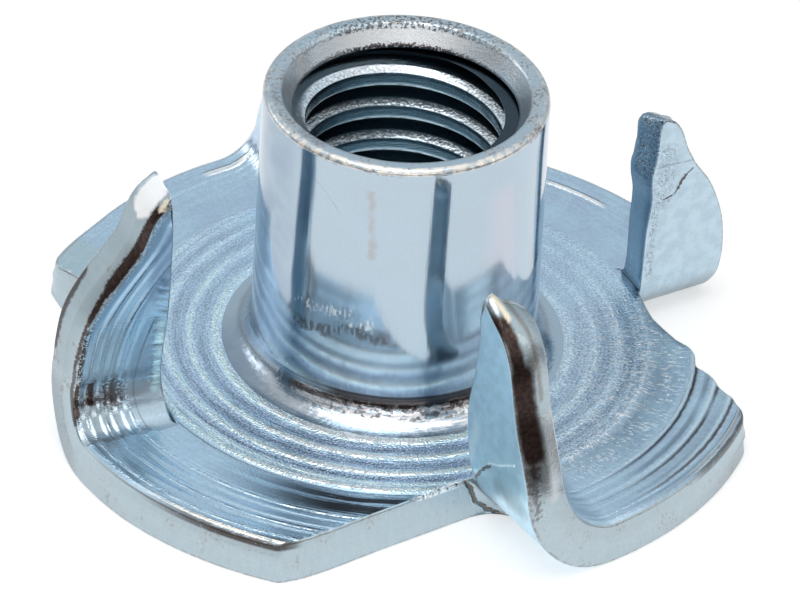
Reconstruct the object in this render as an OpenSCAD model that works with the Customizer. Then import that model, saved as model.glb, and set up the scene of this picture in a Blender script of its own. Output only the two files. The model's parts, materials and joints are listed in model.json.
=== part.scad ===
// Tee nut with four prongs, pressed and drawn from one disc of sheet steel.
// The barrel is drawn up out of the middle of the disc and tapped for an M6
// screw. Each prong is slit free along a chord of the disc, and the flap is
// rolled up about a radial line, so its back keeps the curve of the disc's rim.
// Frame: +Z along the thread, origin at the centre of the flange's flat
// underside, bend lines of the prongs on the X and Y axes.

/* [Flange] */
// Diameter of the disc
flange_d = 19; // [17.5:0.1:22]
// Thickness of the sheet
sheet_t = 1.1; // [0.8:0.05:1.3]
// Rounding of the disc's corners, where the slits run out at its rim
corner_round = 0.3; // [0.1:0.05:0.6]

/* [Barrel] */
// Outside diameter of the barrel
barrel_d = 7.3; // [7:0.1:8.4]
// Overall height, from the flange's underside to the barrel's rim
overall_h = 8.65; // [7:0.05:14]
// Fillet between the barrel and the flange
base_fillet = 0.7; // [0.2:0.05:1]
// Rounding of the barrel's outer rim
rim_round = 0.2; // [0.05:0.05:0.35]

/* [Bore] */
// Minor diameter of the thread, which is the bore's plain wall
bore_d = 5; // [4.5:0.05:5.4]
// Diameter of the countersink at the rim
mouth_d = 6.3; // [5.8:0.05:6.5]
// Full angle of the countersink
mouth_angle = 60; // [50:5:90]
// Radius over which the underside turns into the bore
entry_r = 1; // [0.4:0.05:1.2]

/* [Prongs] */
// Number of prongs
prong_count = 4; // [3:1:5]
// Distance from the thread's axis to the slit that frees a prong
slit_dist = 6.5; // [5.6:0.05:7]
// Inside radius of the bend
bend_r = 1; // [0.8:0.05:1.6]
// How far the slit and the bend start before the radial line
slit_lead = 0.5; // [0.2:0.05:0.8]
// Rounding of the prong's tip
tip_round = 0.25; // [0.1:0.05:0.5]

/* [Hidden] */
$fn = 96;
zinc = [0.71, 0.78, 0.84];
eps = 0.01;

flange_r = flange_d / 2;
barrel_r = barrel_d / 2;
bore_r = bore_d / 2;
mouth_r = mouth_d / 2;
mouth_depth = (mouth_r - bore_r) / tan(mouth_angle / 2);

// Centre of a corner's rounding, which touches the slit and the rim from inside
corner_x = slit_dist - corner_round;
corner_y = -sqrt(pow(flange_r - corner_round, 2) - pow(corner_x, 2));
corner_turn = atan2(corner_y, corner_x);
// Bend: outer radius, and the radius of the sheet's middle, which keeps its length
bend_out = bend_r + sheet_t;
bend_mid = bend_r + sheet_t / 2;
// Height of the rim circle's centre, once the flap that carries it stands upright
curve_z = sheet_t / 2 + bend_mid + slit_lead - bend_mid * PI / 2;
// Centre of the tip's rounding, which touches the slit and the rim circle
tip_x = slit_dist + tip_round;
tip_z = curve_z + sqrt(pow(flange_r - tip_round, 2) - pow(tip_x, 2));
tip_lean = atan2(tip_z - curve_z, tip_x);

// Half section of the disc with its drawn barrel
module section() {
    difference() {
        union() {
            square([flange_r, sheet_t]);
            square([barrel_r, overall_h]);
            translate([barrel_r, sheet_t]) inside_corner(base_fillet);
        }
        translate([-eps, -eps]) square([bore_r + eps, overall_h + 2 * eps]);
        translate([bore_r, 0]) inside_corner(entry_r);
        translate([barrel_r, overall_h]) rotate(180) inside_corner(rim_round);
        countersink();
    }
}

// What a round corner leaves of a square one: fills or cuts a corner at the origin
module inside_corner(r) {
    difference() {
        translate([-eps, -eps]) square(r + eps);
        translate([r, r]) circle(r);
    }
}

// Half section of the cone cut into the rim
module countersink() {
    polygon([
        [0, overall_h - mouth_depth],
        [bore_r, overall_h - mouth_depth],
        [mouth_r, overall_h],
        [mouth_r, overall_h + eps],
        [0, overall_h + eps]
    ]);
}

// The part of the disc that a slit frees, on the clockwise side of the X axis
module slit_off() {
    translate([slit_dist, slit_lead - flange_r, -eps])
        cube([flange_r, flange_r, sheet_t + 2 * eps]);
}

// What the rounding takes off the disc's corner, at the end of the slit
module corner_off() {
    translate([corner_x, corner_y, -eps])
        linear_extrude(sheet_t + 2 * eps) difference() {
            polygon([
                [0, 0],
                2 * corner_round * [cos(corner_turn), sin(corner_turn)],
                [2 * corner_round, 2 * corner_round * sin(corner_turn)],
                [2 * corner_round, 0]
            ]);
            circle(corner_round);
        }
}

// Sheet rolled up about a line along X: a quarter bend and an upright wall
module rolled_sheet() {
    translate([slit_dist, slit_lead, sheet_t + bend_r]) {
        intersection() {
            rotate([0, 90, 0]) difference() {
                cylinder(r = bend_out, h = flange_r);
                translate([0, 0, -eps]) cylinder(r = bend_r, h = flange_r + 2 * eps);
            }
            translate([0, -bend_out - eps, -bend_out - eps])
                cube([flange_r, bend_out + eps, bend_out + eps]);
        }
        translate([0, -bend_out, 0]) cube([flange_r, sheet_t, flange_r]);
    }
}

// Side view of the prong: the rim's circle on its back, rounded over at the tip
module horn() {
    translate([0, slit_lead + eps, 0]) rotate([90, 0, 0])
        linear_extrude(bend_out + 2 * eps) {
            intersection() {
                translate([0, curve_z]) circle(flange_r);
                translate([tip_x, tip_z]) below_tip();
            }
            translate([tip_x, tip_z]) circle(tip_round);
        }
}

// Everything below the two radii that bound the tip's rounding
module below_tip() {
    polygon([
        [0, 0],
        [-flange_d, 0],
        [-flange_d, -flange_d],
        [flange_d, -flange_d],
        flange_d * [cos(tip_lean), sin(tip_lean)]
    ]);
}

// One prong, with its bend line on the X axis
module prong() {
    intersection() {
        rolled_sheet();
        horn();
    }
}

module tee_nut() {
    color(zinc) union() {
        difference() {
            rotate_extrude() section();
            for (i = [0 : prong_count - 1]) rotate(i * 360 / prong_count) {
                slit_off();
                corner_off();
            }
        }
        for (i = [0 : prong_count - 1]) rotate(i * 360 / prong_count) prong();
    }
}

tee_nut();
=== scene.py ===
"""Looks of the tee nut: a pressed flange with four rolled prongs, a drawn barrel and its thread."""

import json
import math
from collections import namedtuple

import bmesh
import bpy
import numpy as np
from mathutils import Matrix, Vector
from mathutils.geometry import delaunay_2d_cdt


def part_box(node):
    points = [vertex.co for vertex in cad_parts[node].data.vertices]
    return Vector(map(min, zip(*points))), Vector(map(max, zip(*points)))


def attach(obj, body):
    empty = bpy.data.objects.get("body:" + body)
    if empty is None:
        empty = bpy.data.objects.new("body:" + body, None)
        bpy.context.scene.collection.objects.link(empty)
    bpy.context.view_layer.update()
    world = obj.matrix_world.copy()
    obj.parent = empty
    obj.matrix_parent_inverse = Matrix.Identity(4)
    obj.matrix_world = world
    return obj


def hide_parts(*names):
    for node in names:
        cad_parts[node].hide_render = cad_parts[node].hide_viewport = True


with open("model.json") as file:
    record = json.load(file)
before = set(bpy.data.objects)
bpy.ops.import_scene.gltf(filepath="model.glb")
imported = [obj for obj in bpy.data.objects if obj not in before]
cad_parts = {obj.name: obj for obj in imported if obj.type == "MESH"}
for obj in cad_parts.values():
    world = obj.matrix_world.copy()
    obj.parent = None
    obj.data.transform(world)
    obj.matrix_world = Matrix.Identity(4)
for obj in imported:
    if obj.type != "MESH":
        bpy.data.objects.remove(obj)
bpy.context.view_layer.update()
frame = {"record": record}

# ================================================================ sizes, in millimetres

MM = 0.001
MOUNTS = {m["name"]: m for m in frame["record"]["mounts"]}
LOW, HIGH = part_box("tee_nut")

FLANGE_R = (HIGH.x - LOW.x) / 2 / MM
HEIGHT = HIGH.z / MM
BORE_R = MOUNTS["thread"]["dims"]["r_mm"]
BARREL_R = MOUNTS["barrel"]["dims"]["r_mm"]

SHEET_T = 1.1

FLANGE_FROM = 4.42          # the flat sheet runs from here, past the fillet, to the rim
BASE_FILLET = 0.7
DRAFT = 0.04                # the barrel is this much wider at its foot and narrower at its rim
RIM_ROUND = 0.17
MOUTH_R = 3.16
LIP_R = 2.85
LIP_Z = HEIGHT - 0.56
CROWN = (MOUTH_R + 0.06, HEIGHT - 0.005)        # where the rim starts to fall into the mouth
MOUTH = (MOUTH_R, HEIGHT - 0.03)                # where the mouth's bevel starts
SHELF_Z = LIP_Z - 0.1       # the bore's wall ends here, past the lip's rounding
ENTRY_R = 1.0

PITCH = 1.0
THREAD_ROOT_R = 3.0
SLEEVE_R = 3.08             # outside of the thread's own piece, which lies against the bore's wall
SLEEVE_GAP = 0.01

# One prong, in the flat blank's terms. A place on the blank is given by s, how far out along the
# prong's bend line it is, and q, how far clockwise of that line. Lists are (q, value).
#   lead        how far the bend starts before the bend line
#   bend, turn  radius of the sheet's middle in the bend, and how far it is bent
#   thickness   of the prong's sheet, drawn out or upset in the press
#   across      faces over its width
#   tip         q of its end, the length over which that end is rounded in the sheet's plane, how far
#               the end leans in towards the upper face, and the rounding of its edges
#   slit        s of its slit edge
#   slit_lean   how much further in that edge lies below than above
#   rim         distance of its rim from the axis
#   notch       s of the edge that the slit leaves on the flange
#   notch_lean  how much further out that edge lies below than above
#   corner      rounding of the flange's corner at the end of that edge
#   web         the torn web between that edge and the prong: q of its end on the edge, and how far
#               it reaches along the prong above and below
Prong = namedtuple(
    "Prong",
    "angle lead bend turn thickness across tip slit slit_lean rim notch notch_lean corner web")
PRONGS = [
    Prong(  # left
        -187.06, 1.6, 1.55, 96.5, 1.25, 60, (6.6, 0.36, 0.0, 0.09),
        [(-1.6, 6.66), (1.1, 6.67), (2.9, 6.6), (5.3, 6.65), (6.0, 6.7), (6.6, 6.74)],
        [(0, 0.05), (6.6, 0.05)],
        [(0.2, 9.26), (1.0, 9.25), (1.7, 9.32), (2.8, 9.42), (4.8, 9.19), (6.3, 9.57)],
        [(-1.6, 6.66), (1.5, 6.78), (3.5, 6.9), (4.8, 7.02), (5.6, 7.06)],
        [(-1.6, 0.0), (1.2, 0.12), (3.0, 0.32), (5.1, 0.36), (5.9, 0.06)], 0.25,
        (1.9, 0.15, 0.5)),
    Prong(  # front
        -87.9, 0.5, 1.95, 93.0, 1.22, 36, (6.98, 0.6, 0.5, 0.24),
        [(-0.5, 6.33), (0.8, 6.45), (1.8, 6.54), (2.6, 6.41), (3.1, 6.28), (3.7, 6.23), (4.7, 6.33),
         (5.8, 6.38), (6.3, 6.27), (6.8, 6.17)],
        [(0, 0.05), (6.8, 0.05)],
        [(2.3, 9.48), (4.1, 9.31), (6.1, 9.66)],
        [(-0.5, 6.33), (0.6, 6.27), (2.6, 6.25), (4.4, 6.25), (5.8, 6.28), (6.6, 6.25), (7.3, 6.13)],
        [(0, 0.17), (7, 0.17)], 0.16, (1.72, 0.15, 0.95)),
    Prong(  # right
        -0.9, 0.0, 0.72, 87.0, 0.90, 36, (6.45, 0.22, 0.3, 0.06),
        [(0, 6.8), (0.9, 6.79), (1.5, 6.78), (2.8, 6.75), (3.8, 6.81), (4.6, 6.73), (5.1, 6.79),
         (5.5, 6.82), (5.9, 6.8), (6.5, 6.84)],
        [(0, 0), (0.9, 0.05), (1.5, 0.09), (3.0, 0.05), (4.7, -0.1), (6.5, -0.1)],
        [(0.5, 9.20), (0.9, 9.33), (1.6, 9.47), (2.8, 9.56), (3.9, 9.52), (4.75, 9.39),
         (5.2, 9.42), (6.2, 9.64)],
        [(0, 6.89), (0.8, 6.88), (1.15, 6.81), (1.5, 6.71), (1.95, 6.58), (2.5, 6.49), (3.4, 6.53),
         (3.9, 6.66), (4.15, 6.63), (4.7, 6.38), (5.1, 6.48), (5.4, 6.47), (5.75, 6.41),
         (6.2, 6.47), (6.5, 6.42), (6.9, 6.4)],
        [(0, 0.03), (7, 0.03)], 0.34, (1.0, 0.1, 0.3)),
    Prong(  # back
        85.0, 0.8, 1.5, 87.0, 1.10, 36, (5.3, 0.4, 0.1, 0.08),
        [(-0.8, 6.5), (2.0, 6.58), (4.2, 6.46), (5.9, 6.5)],
        [(0, 0.05), (5.9, 0.05)],
        [(2.4, 9.2), (4.2, 9.0), (5.8, 9.0)],
        [(-0.8, 6.5), (2.0, 6.36), (4.4, 6.42), (6.6, 6.3)],
        [(0, 0.08), (6.6, 0.08)], 0.3, (1.8, 0.2, 0.8)),
]
LEFT, FRONT, RIGHT = range(3)           # the prongs whose faces and edges carry marks of their own
THICKNESS_EASE = 1.0        # length over which a prong's thickness departs from the sheet's

# Rim of the blank: angle and distance from the axis. It closes on itself after a full turn.
RIM = [(-187, 9.38), (-163, 9.49), (-133, 9.5), (-88, 9.48), (-50, 9.55), (-1, 9.39), (12, 9.28),
       (60, 9.22), (117, 9.22), (132, 9.42), (173, 9.38)]


def smooth(x):
    x = np.clip(x, 0, 1)
    return x * x * (3 - 2 * x)


def through(knots, x):
    """A smooth curve through knots, which keeps its high and low points at them."""
    at, value = np.array(knots).T
    rise = np.diff(value) / np.diff(at)
    both = rise[:-1] * rise[1:]
    slope = np.zeros(len(at))
    slope[1:-1] = np.where(both > 0, 2 * both / np.where(both > 0, rise[:-1] + rise[1:], 1), 0)
    i = np.clip(np.searchsorted(at, x) - 1, 0, len(at) - 2)
    h = at[i + 1] - at[i]
    t = np.clip((x - at[i]) / h, 0, 1)
    bend = t * t * (t - 1) * h * slope[i + 1] + t * (t - 1) ** 2 * h * slope[i]
    return value[i] + (value[i + 1] - value[i]) * smooth(t) + bend


# ================================================================ the blank

def rim_radius(angle):
    """Distance of the blank's rim from the axis at an angle."""
    start = RIM[0][0]
    return through(RIM, (np.degrees(angle) - start) % 360 + start)


def prong_rim(prong, q):
    """Distance of a prong's rim from the axis, from the flange's own at its foot."""
    foot = float(rim_radius(math.radians(prong.angle) + prong.lead / FLANGE_R))
    return through([(-prong.lead, foot)] + prong.rim, q)


RINGS_PARALLEL_FROM = 7.0   # outside this radius the rings follow the rim, not the barrel


def ring_to_radius(ring, rim):
    """Distance from the axis at which a ring lies, where the rim is as far out as given."""
    stretch = (rim - RINGS_PARALLEL_FROM) / (FLANGE_R - RINGS_PARALLEL_FROM)
    outer = RINGS_PARALLEL_FROM + (ring - RINGS_PARALLEL_FROM) * stretch
    return np.where(ring > RINGS_PARALLEL_FROM, outer, ring)


def radius_to_ring(radius, rim):
    """The ring at a distance from the axis: the reverse."""
    stretch = (rim - RINGS_PARALLEL_FROM) / (FLANGE_R - RINGS_PARALLEL_FROM)
    outer = RINGS_PARALLEL_FROM + (radius - RINGS_PARALLEL_FROM) / stretch
    return np.where(radius > RINGS_PARALLEL_FROM, outer, radius)


def on_blank(prong, s, q):
    """Places on the blank, in its X and Y, from their s and q by a prong."""
    a = math.radians(prong.angle)
    return np.column_stack([s * math.cos(a) + q * math.sin(a), s * math.sin(a) - q * math.cos(a)])


def by_prong(prong, flat):
    """The s and q by a prong of places on the blank."""
    a = math.radians(prong.angle)
    return flat @ (math.cos(a), math.sin(a)), flat @ (math.sin(a), -math.cos(a))


COLUMNS = 300               # corners round the barrel
RIM_CORNERS = 48            # corners along the rim between two prongs
EDGE_STEP = 0.1             # spacing of corners along a slit
FLAP_STEP = 0.092           # spacing of corners up a prong
# Rings of corners on each face of the flat part: from and to which radius, and their spacing.
UPPER_SPANS = [
    (FLANGE_FROM, 6.9, 0.105), (6.9, 7.7, 0.16), (7.7, 9.2, 0.052), (9.2, 9.5, 0.075)]
LOWER_SPANS = [(FLANGE_FROM, 9.5, 0.5)]

EDGE_ROUND = 0.05           # rounding of the sheet's cut edges
RIM_LEAN = 0.13             # a blanked rim lies this much further out below than above

# How far in from the blank's outline something lies: shares of the lean of the rim and of the slit
# edges, and of the edges' rounding.
Inset = namedtuple("Inset", "rim slit rounding")
ROOT_EASE = 0.3             # length over which a slit opens from its root
TIP_EASE = 0.9              # length over which a prong's edges take up its tip's rounding
TIP_APEX = 0.3              # where the tip's end is between the slit edge and the rim
TIP_TURN = 77               # how far a tip's end turns
TIP_STEPS = 8
LEAST_WIDTH = 0.03          # of a flap, from its slit edge to its rim
NOTCH_LENGTH = 6.6          # about how long the edge is that a slit leaves on the flange
CORNER_STEPS = 7
CORNER_SEARCH = (4.5, 8.0, 0.002)       # q where that edge is looked for at the rim, in steps


def flap_grid(prong, inset):
    """The prong's flap on the blank: s, q and edge rounding of rows of corners, foot to tip."""
    end, length, tip_lean, tip_round = prong.tip
    rows = round((end - length + prong.lead) / FLAP_STEP)
    start = end - length - tip_lean * inset.slit - tip_round * inset.rounding
    turn = np.radians(np.linspace(0, TIP_TURN, TIP_STEPS + 1)[1:])
    q = np.concatenate([np.linspace(-prong.lead, start, rows + 1), start + length * np.sin(turn)])
    narrowing = np.concatenate([np.ones(rows + 1), np.cos(turn)])[:, None]
    edge_round = EDGE_ROUND + (tip_round - EDGE_ROUND) * smooth((q - end) / TIP_EASE + 1)
    opening = smooth((q + prong.lead) / ROOT_EASE)
    slit_s = through(prong.slit, q)
    slit_s += (through(prong.slit_lean, q) * inset.slit + edge_round * inset.rounding) * opening
    rim_r = prong_rim(prong, q) - RIM_LEAN * inset.rim - edge_round * inset.rounding
    rim_s = np.maximum(np.sqrt(rim_r**2 - q**2), slit_s + LEAST_WIDTH)
    across = np.linspace(0, 1, prong.across + 1)
    share = TIP_APEX + (across - TIP_APEX) * narrowing
    s = slit_s[:, None] + (rim_s - slit_s)[:, None] * share
    return s, np.broadcast_to(q[:, None], s.shape), np.broadcast_to(edge_round[:, None], s.shape)


def notch_edge(prong, inset):
    """The flange's edge by the prong, from its rounded corner at the rim to the slit's root, and
    the angle where that corner starts."""
    def edge_s(q):
        back = through(prong.notch_lean, q) * inset.slit + EDGE_ROUND * inset.rounding
        return through(prong.notch, q) - back * smooth((q + prong.lead) / ROOT_EASE)

    def rim_at(angle):
        return rim_radius(angle) - RIM_LEAN * inset.rim - EDGE_ROUND * inset.rounding

    q = np.arange(*CORNER_SEARCH)
    edge = on_blank(prong, edge_s(q), q)
    angle = np.arctan2(edge[:, 1], edge[:, 0])
    last = int(np.argmax(np.hypot(*edge.T) > rim_at(angle)))
    start_angle = angle[last] - prong.corner / FLANGE_R
    start = rim_at(start_angle) * np.array([math.cos(start_angle), math.sin(start_angle)])
    count = round((NOTCH_LENGTH + prong.lead) / EDGE_STEP)
    along = np.linspace(q[last] - prong.corner, -prong.lead, count + 1)[:-1]
    side = on_blank(prong, edge_s(along), along)
    t = np.linspace(0, 1, CORNER_STEPS + 1)[:-1, None]
    curve = (1 - t) ** 2 * start + 2 * t * (1 - t) * edge[last] + t**2 * side[0]
    return float(start_angle), np.vstack([curve, side])


class Blank:
    """Corners on the flat blank that its faces and edges share: the flaps and the outline. inset
    says how far in from the outline they lie."""

    def __init__(self, inset):
        self.inset = inset
        self.flat, self.flap = np.zeros((0, 2)), np.zeros(0, int)
        self.rim, self.edge_round = np.zeros(0), np.zeros(0)
        self.flat_part, self.outline, self.flap_faces = [], [], []
        for number, prong in enumerate(PRONGS):
            self.add_quarter(number, prong, PRONGS[number - 1])

    def add(self, flat, flap, rim, edge_round=EDGE_ROUND):
        first = len(self.flat)
        self.flat = np.vstack([self.flat, flat])
        self.flap = np.concatenate([self.flap, np.full(len(flat), flap)])
        self.rim = np.concatenate([self.rim, np.broadcast_to(rim, len(flat))])
        self.edge_round = np.concatenate([self.edge_round, np.broadcast_to(edge_round, len(flat))])
        return list(range(first, len(self.flat)))

    def add_quarter(self, number, prong, before):
        """The rim from the prong before, the notch that this prong leaves, and its flap."""
        corner_angle, notch = notch_edge(prong, self.inset)
        foot_q = -before.lead
        foot_s = math.sqrt(float(prong_rim(before, foot_q)) ** 2 - foot_q**2)
        foot_angle = math.radians(before.angle) - math.atan2(foot_q, foot_s)
        span = (corner_angle - foot_angle) % (2 * math.pi)
        angle = foot_angle + np.linspace(0, span, RIM_CORNERS + 2)[1:-1]
        rim = rim_radius(angle)
        r = rim - RIM_LEAN * self.inset.rim - EDGE_ROUND * self.inset.rounding
        edge = self.add(np.column_stack([r * np.cos(angle), r * np.sin(angle)]), 0, rim)
        edge += self.add(notch, 0, rim_radius(np.arctan2(notch[:, 1], notch[:, 0])))
        s, q, edge_round = flap_grid(prong, self.inset)
        rows = []
        for row in range(len(q)):
            flat = on_blank(prong, s[row], q[row])
            rows.append(self.add(flat, number + 1, prong_rim(prong, q[row]), edge_round[row]))
        self.flat_part += edge + rows[0]
        self.outline += edge + [row[0] for row in rows] + rows[-1][1:]
        self.outline += [row[-1] for row in rows[-2::-1]]
        for lower, upper in zip(rows, rows[1:]):
            for j in range(len(lower) - 1):
                self.flap_faces.append((lower[j], upper[j], upper[j + 1], lower[j + 1]))


def inside(loop, places):
    """Which places are inside a closed loop, and how far each is from it."""
    crossings = np.zeros(len(places), int)
    distance = np.full(len(places), np.inf)
    x, y = places.T
    for (x0, y0), (x1, y1) in zip(loop, np.roll(loop, -1, axis=0)):
        if y0 != y1:
            crossings += ((y0 > y) != (y1 > y)) & (x < x0 + (y - y0) * (x1 - x0) / (y1 - y0))
        length = (x1 - x0) ** 2 + (y1 - y0) ** 2
        t = np.clip(((x - x0) * (x1 - x0) + (y - y0) * (y1 - y0)) / length, 0, 1)
        distance = np.minimum(distance, np.hypot(x0 + t * (x1 - x0) - x, y0 + t * (y1 - y0) - y))
    return crossings % 2 == 1, distance


CLEARANCE = 0.6             # share of their spacing that new corners keep off the outline
SAME_PLACE = 1e-6


def ring_corners(loop, angles, spans):
    """Corners on rings from the barrel's foot outwards, as far as they lie within the outline."""
    rings = []
    for start, end, spacing in spans:
        rings += list(np.linspace(start, end, round((end - start) / spacing), endpoint=False))
    rim = rim_radius(angles)
    spots = []
    for ring, spacing in zip(rings, np.diff(rings + [FLANGE_R])):
        r = ring_to_radius(ring, rim)
        spot = np.column_stack([r * np.cos(angles), r * np.sin(angles)])
        if ring > rings[0]:
            within, distance = inside(loop, spot)
            spot = spot[within & (distance > CLEARANCE * spacing)]
        spots.append(spot)
    return np.vstack(spots)


def fill_flat_part(blank, angles, spans):
    """Corners on rings between the barrel's foot and the rim, and triangles over the flat part.
    The new corners' first row runs round the barrel's foot."""
    loop = blank.flat[blank.flat_part]
    flat = ring_corners(loop, angles, spans)
    everything = [Vector(p) for p in np.vstack([loop, flat])]
    n = len(loop)
    edges = [(i, (i + 1) % n) for i in range(n)]
    edges += [(n + i, n + (i + 1) % len(angles)) for i in range(len(angles))]
    _, _, faces, origin, _, _ = delaunay_2d_cdt(everything, edges, [], 0, SAME_PLACE)
    source = [o[0] for o in origin]
    foot = range(n, n + len(angles))
    kept, middles, unsure = [], [], []
    for face in faces:
        face = [source[i] for i in face]
        if all(i in foot for i in face):
            continue
        if all(i < n for i in face):
            unsure.append(face)
            middles.append(np.mean([loop[i] for i in face], axis=0))
        else:
            kept.append(face)
    if unsure:
        within, _ = inside(loop, np.array(middles))
        kept += [face for face, good in zip(unsure, within) if good]
    return flat, kept


def roll_up(prong, flat, height):
    """Where points of the flat blank lie once the prong is bent. height is theirs in the sheet."""
    s, q = by_prong(prong, flat)
    turn = math.radians(prong.turn)
    past = q + prong.lead
    thicker = 1 + (prong.thickness / SHEET_T - 1) * smooth(past / THICKNESS_EASE)
    n = SHEET_T / 2 + (height - SHEET_T / 2) * thicker
    angle = np.clip(past / prong.bend, 0, turn)
    beyond = np.maximum(past - prong.bend * turn, 0)
    centre = SHEET_T / 2 + prong.bend
    arm = centre - n
    across = np.where(past <= 0, past, arm * np.sin(angle) + beyond * math.cos(turn))
    z = np.where(past <= 0, n, centre - arm * np.cos(angle) + beyond * math.sin(turn))
    return np.column_stack([on_blank(prong, s, across - prong.lead), z])


# ================================================================ press marks

# The die struck waves into the face between two rings, and stepped grooves between two others.
WAVE_HEIGHT, WAVE_SPACING, FIRST_WAVE = 0.010, 0.655, 4.6
WAVES_FROM, WAVES_TO = 4.3, 6.75
STEP_HEIGHT, STEP_SPACING, FIRST_STEP = 0.022, 0.31, 7.75
STEPS_FROM, STEPS_TO = 7.7, 9.35
STEP_RISE, STEP_FALL = 0.72, 0.28       # shares of a step's width
SINK = 0.015                # how much lower the face lies beyond the waves
ROLL_OVER = (0.36, 0.2)     # width and depth of the rounding that blanking leaves by the rim
ROLL_OVER_SINE = 0.93       # sine of the angle through which that rounding turns


def relief(ring):
    """Height of the pressed face over the sheet's, by the ring that a point lies on."""
    wave = WAVE_HEIGHT * smooth((ring - WAVES_FROM) / 0.3) * smooth((WAVES_TO - ring) / 0.1)
    z = wave * np.cos(2 * math.pi * (ring - FIRST_WAVE) / WAVE_SPACING)
    share = ((ring - FIRST_STEP) / STEP_SPACING) % 1
    saw = np.minimum(share / STEP_RISE, (1 - share) / STEP_FALL)
    step = STEP_HEIGHT * smooth((ring - STEPS_FROM) / 0.1) * smooth((STEPS_TO - ring) / 0.15)
    z += step * (saw - 0.5)
    z -= SINK * smooth((ring - WAVES_TO) / 0.08)
    width, depth = ROLL_OVER
    into = np.clip((ring - (FLANGE_R - width)) / width, 0, 1)
    fall = 1 - np.sqrt(1 - (ROLL_OVER_SINE * into) ** 2)
    return z - depth * fall / (1 - math.sqrt(1 - ROLL_OVER_SINE**2))


# ================================================================ the body

FINISHES = ["pressed_face", "underside", "cut_edge", "drawn_barrel", "countersink", "bore"]


def link(name, data):
    """An object of the scene, from its mesh, lamp or camera."""
    made = bpy.data.objects.new(name, data)
    bpy.context.scene.collection.objects.link(made)
    return made


class Shell:
    """The body's mesh as it is gathered: corners, the blank's coordinates that they came from, and
    faces with their finish."""

    def __init__(self):
        self.corners, self.blank, self.ring, self.flap = [], [], [], []
        self.faces, self.finishes = [], []
        self.count = 0

    def add_corners(self, corners, blank=None, rim=FLANGE_R, flap=0):
        """blank is where the corners were on the flat blank, rim how far its rim was there, and flap
        the number of their prong, from 1, or 0 on the flange."""
        blank = corners if blank is None else blank
        first = self.count
        self.corners.append(corners)
        self.blank.append(blank)
        self.flap.append(np.broadcast_to(flap, len(corners)))
        self.ring.append(radius_to_ring(np.hypot(blank[:, 0], blank[:, 1]), rim))
        self.count += len(corners)
        return np.arange(first, self.count)

    def add_face(self, face, finish):
        self.faces.append([int(i) for i in face])
        self.finishes.append(FINISHES.index(finish))

    def add_band(self, upper, lower, finish):
        """Faces between two closed rows of corners. Seen from outside, upper runs to the right."""
        ahead = np.roll(np.arange(len(upper)), -1)
        for j, k in enumerate(ahead):
            self.add_face((upper[j], upper[k], lower[k], lower[j]), finish)


# Steps of a cut edge from the upper face to the lower: how far in, and how high, as shares of the
# sheet there and of the rounding. A blanked rim has a ridge halfway down, where the shear stopped.
EDGE_STEPS = [
    (Inset(1.0, 1.0, 0.29), 1.0, -0.29),
    (Inset(1.0, 1.0, 0), 1.0, -1.0),
    (Inset(0.75, 0.72, 0), 0.72, 0),
    (Inset(0.12, 0.55, 0), 0.55, 0),
    (Inset(0.5, 0.42, 0), 0.42, 0),
    (Inset(0, 0, 0), 0, 1.0),
    (Inset(0, 0, 0.29), 0, 0.29),
]


def sheet_corners(flat, flap_of, height):
    """Corners of the sheet at a height in it, with each flap rolled up."""
    corners = np.column_stack([flat, np.broadcast_to(height, len(flat))])
    for number, prong in enumerate(PRONGS, 1):
        mine = flap_of == number
        corners[mine] = roll_up(prong, flat[mine], corners[mine, 2])
    return corners


def face_of_sheet(shell, blank, angles, spans, height, finish, order):
    """The sheet's upper or lower face, whose height goes by the ring. Returns its corners along the
    outline and round the barrel's foot, and the height of the first."""
    flat, triangles = fill_flat_part(blank, angles, spans)
    rim = np.concatenate([blank.rim, rim_radius(np.arctan2(flat[:, 1], flat[:, 0]))])
    shared = len(blank.flat)
    flat = np.vstack([blank.flat, flat])
    z = height(radius_to_ring(np.hypot(*flat.T), rim))
    flap_of = np.concatenate([blank.flap, np.zeros(len(flat) - shared, int)])
    corners = shell.add_corners(
        sheet_corners(flat, flap_of, z), np.column_stack([flat, z]), rim, flap_of)
    lookup = np.concatenate([blank.flat_part, np.arange(shared, len(flat))])
    for face in triangles:
        shell.add_face(corners[lookup[face]][::order], finish)
    for face in blank.flap_faces:
        shell.add_face(corners[list(face)][::order], finish)
    return corners[blank.outline], corners[shared : shared + len(angles)], z[blank.outline]


def add_sheet(shell, angles):
    """The flange and its prongs. Returns the inner rows of corners of the upper and lower face."""
    upper, upper_foot, top_z = face_of_sheet(
        shell, Blank(Inset(1, 1, 1)), angles, UPPER_SPANS, lambda ring: SHEET_T + relief(ring),
        "pressed_face", 1)
    lower, lower_foot, _ = face_of_sheet(
        shell, Blank(Inset(0, 0, 1)), angles, LOWER_SPANS, lambda ring: 0 * ring, "underside", -1)
    row = upper
    for inset, height, rise in EDGE_STEPS:
        blank = Blank(inset)
        edge = blank.outline
        z = height * top_z + blank.edge_round[edge] * rise
        corners = sheet_corners(blank.flat[edge], blank.flap[edge], z)
        following = shell.add_corners(
            corners, np.column_stack([blank.flat[edge], z]), blank.rim[edge], blank.flap[edge])
        shell.add_band(row[::-1], following[::-1], "cut_edge")
        row = following
    shell.add_band(row[::-1], lower[::-1], "cut_edge")
    return upper_foot, lower_foot


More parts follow.
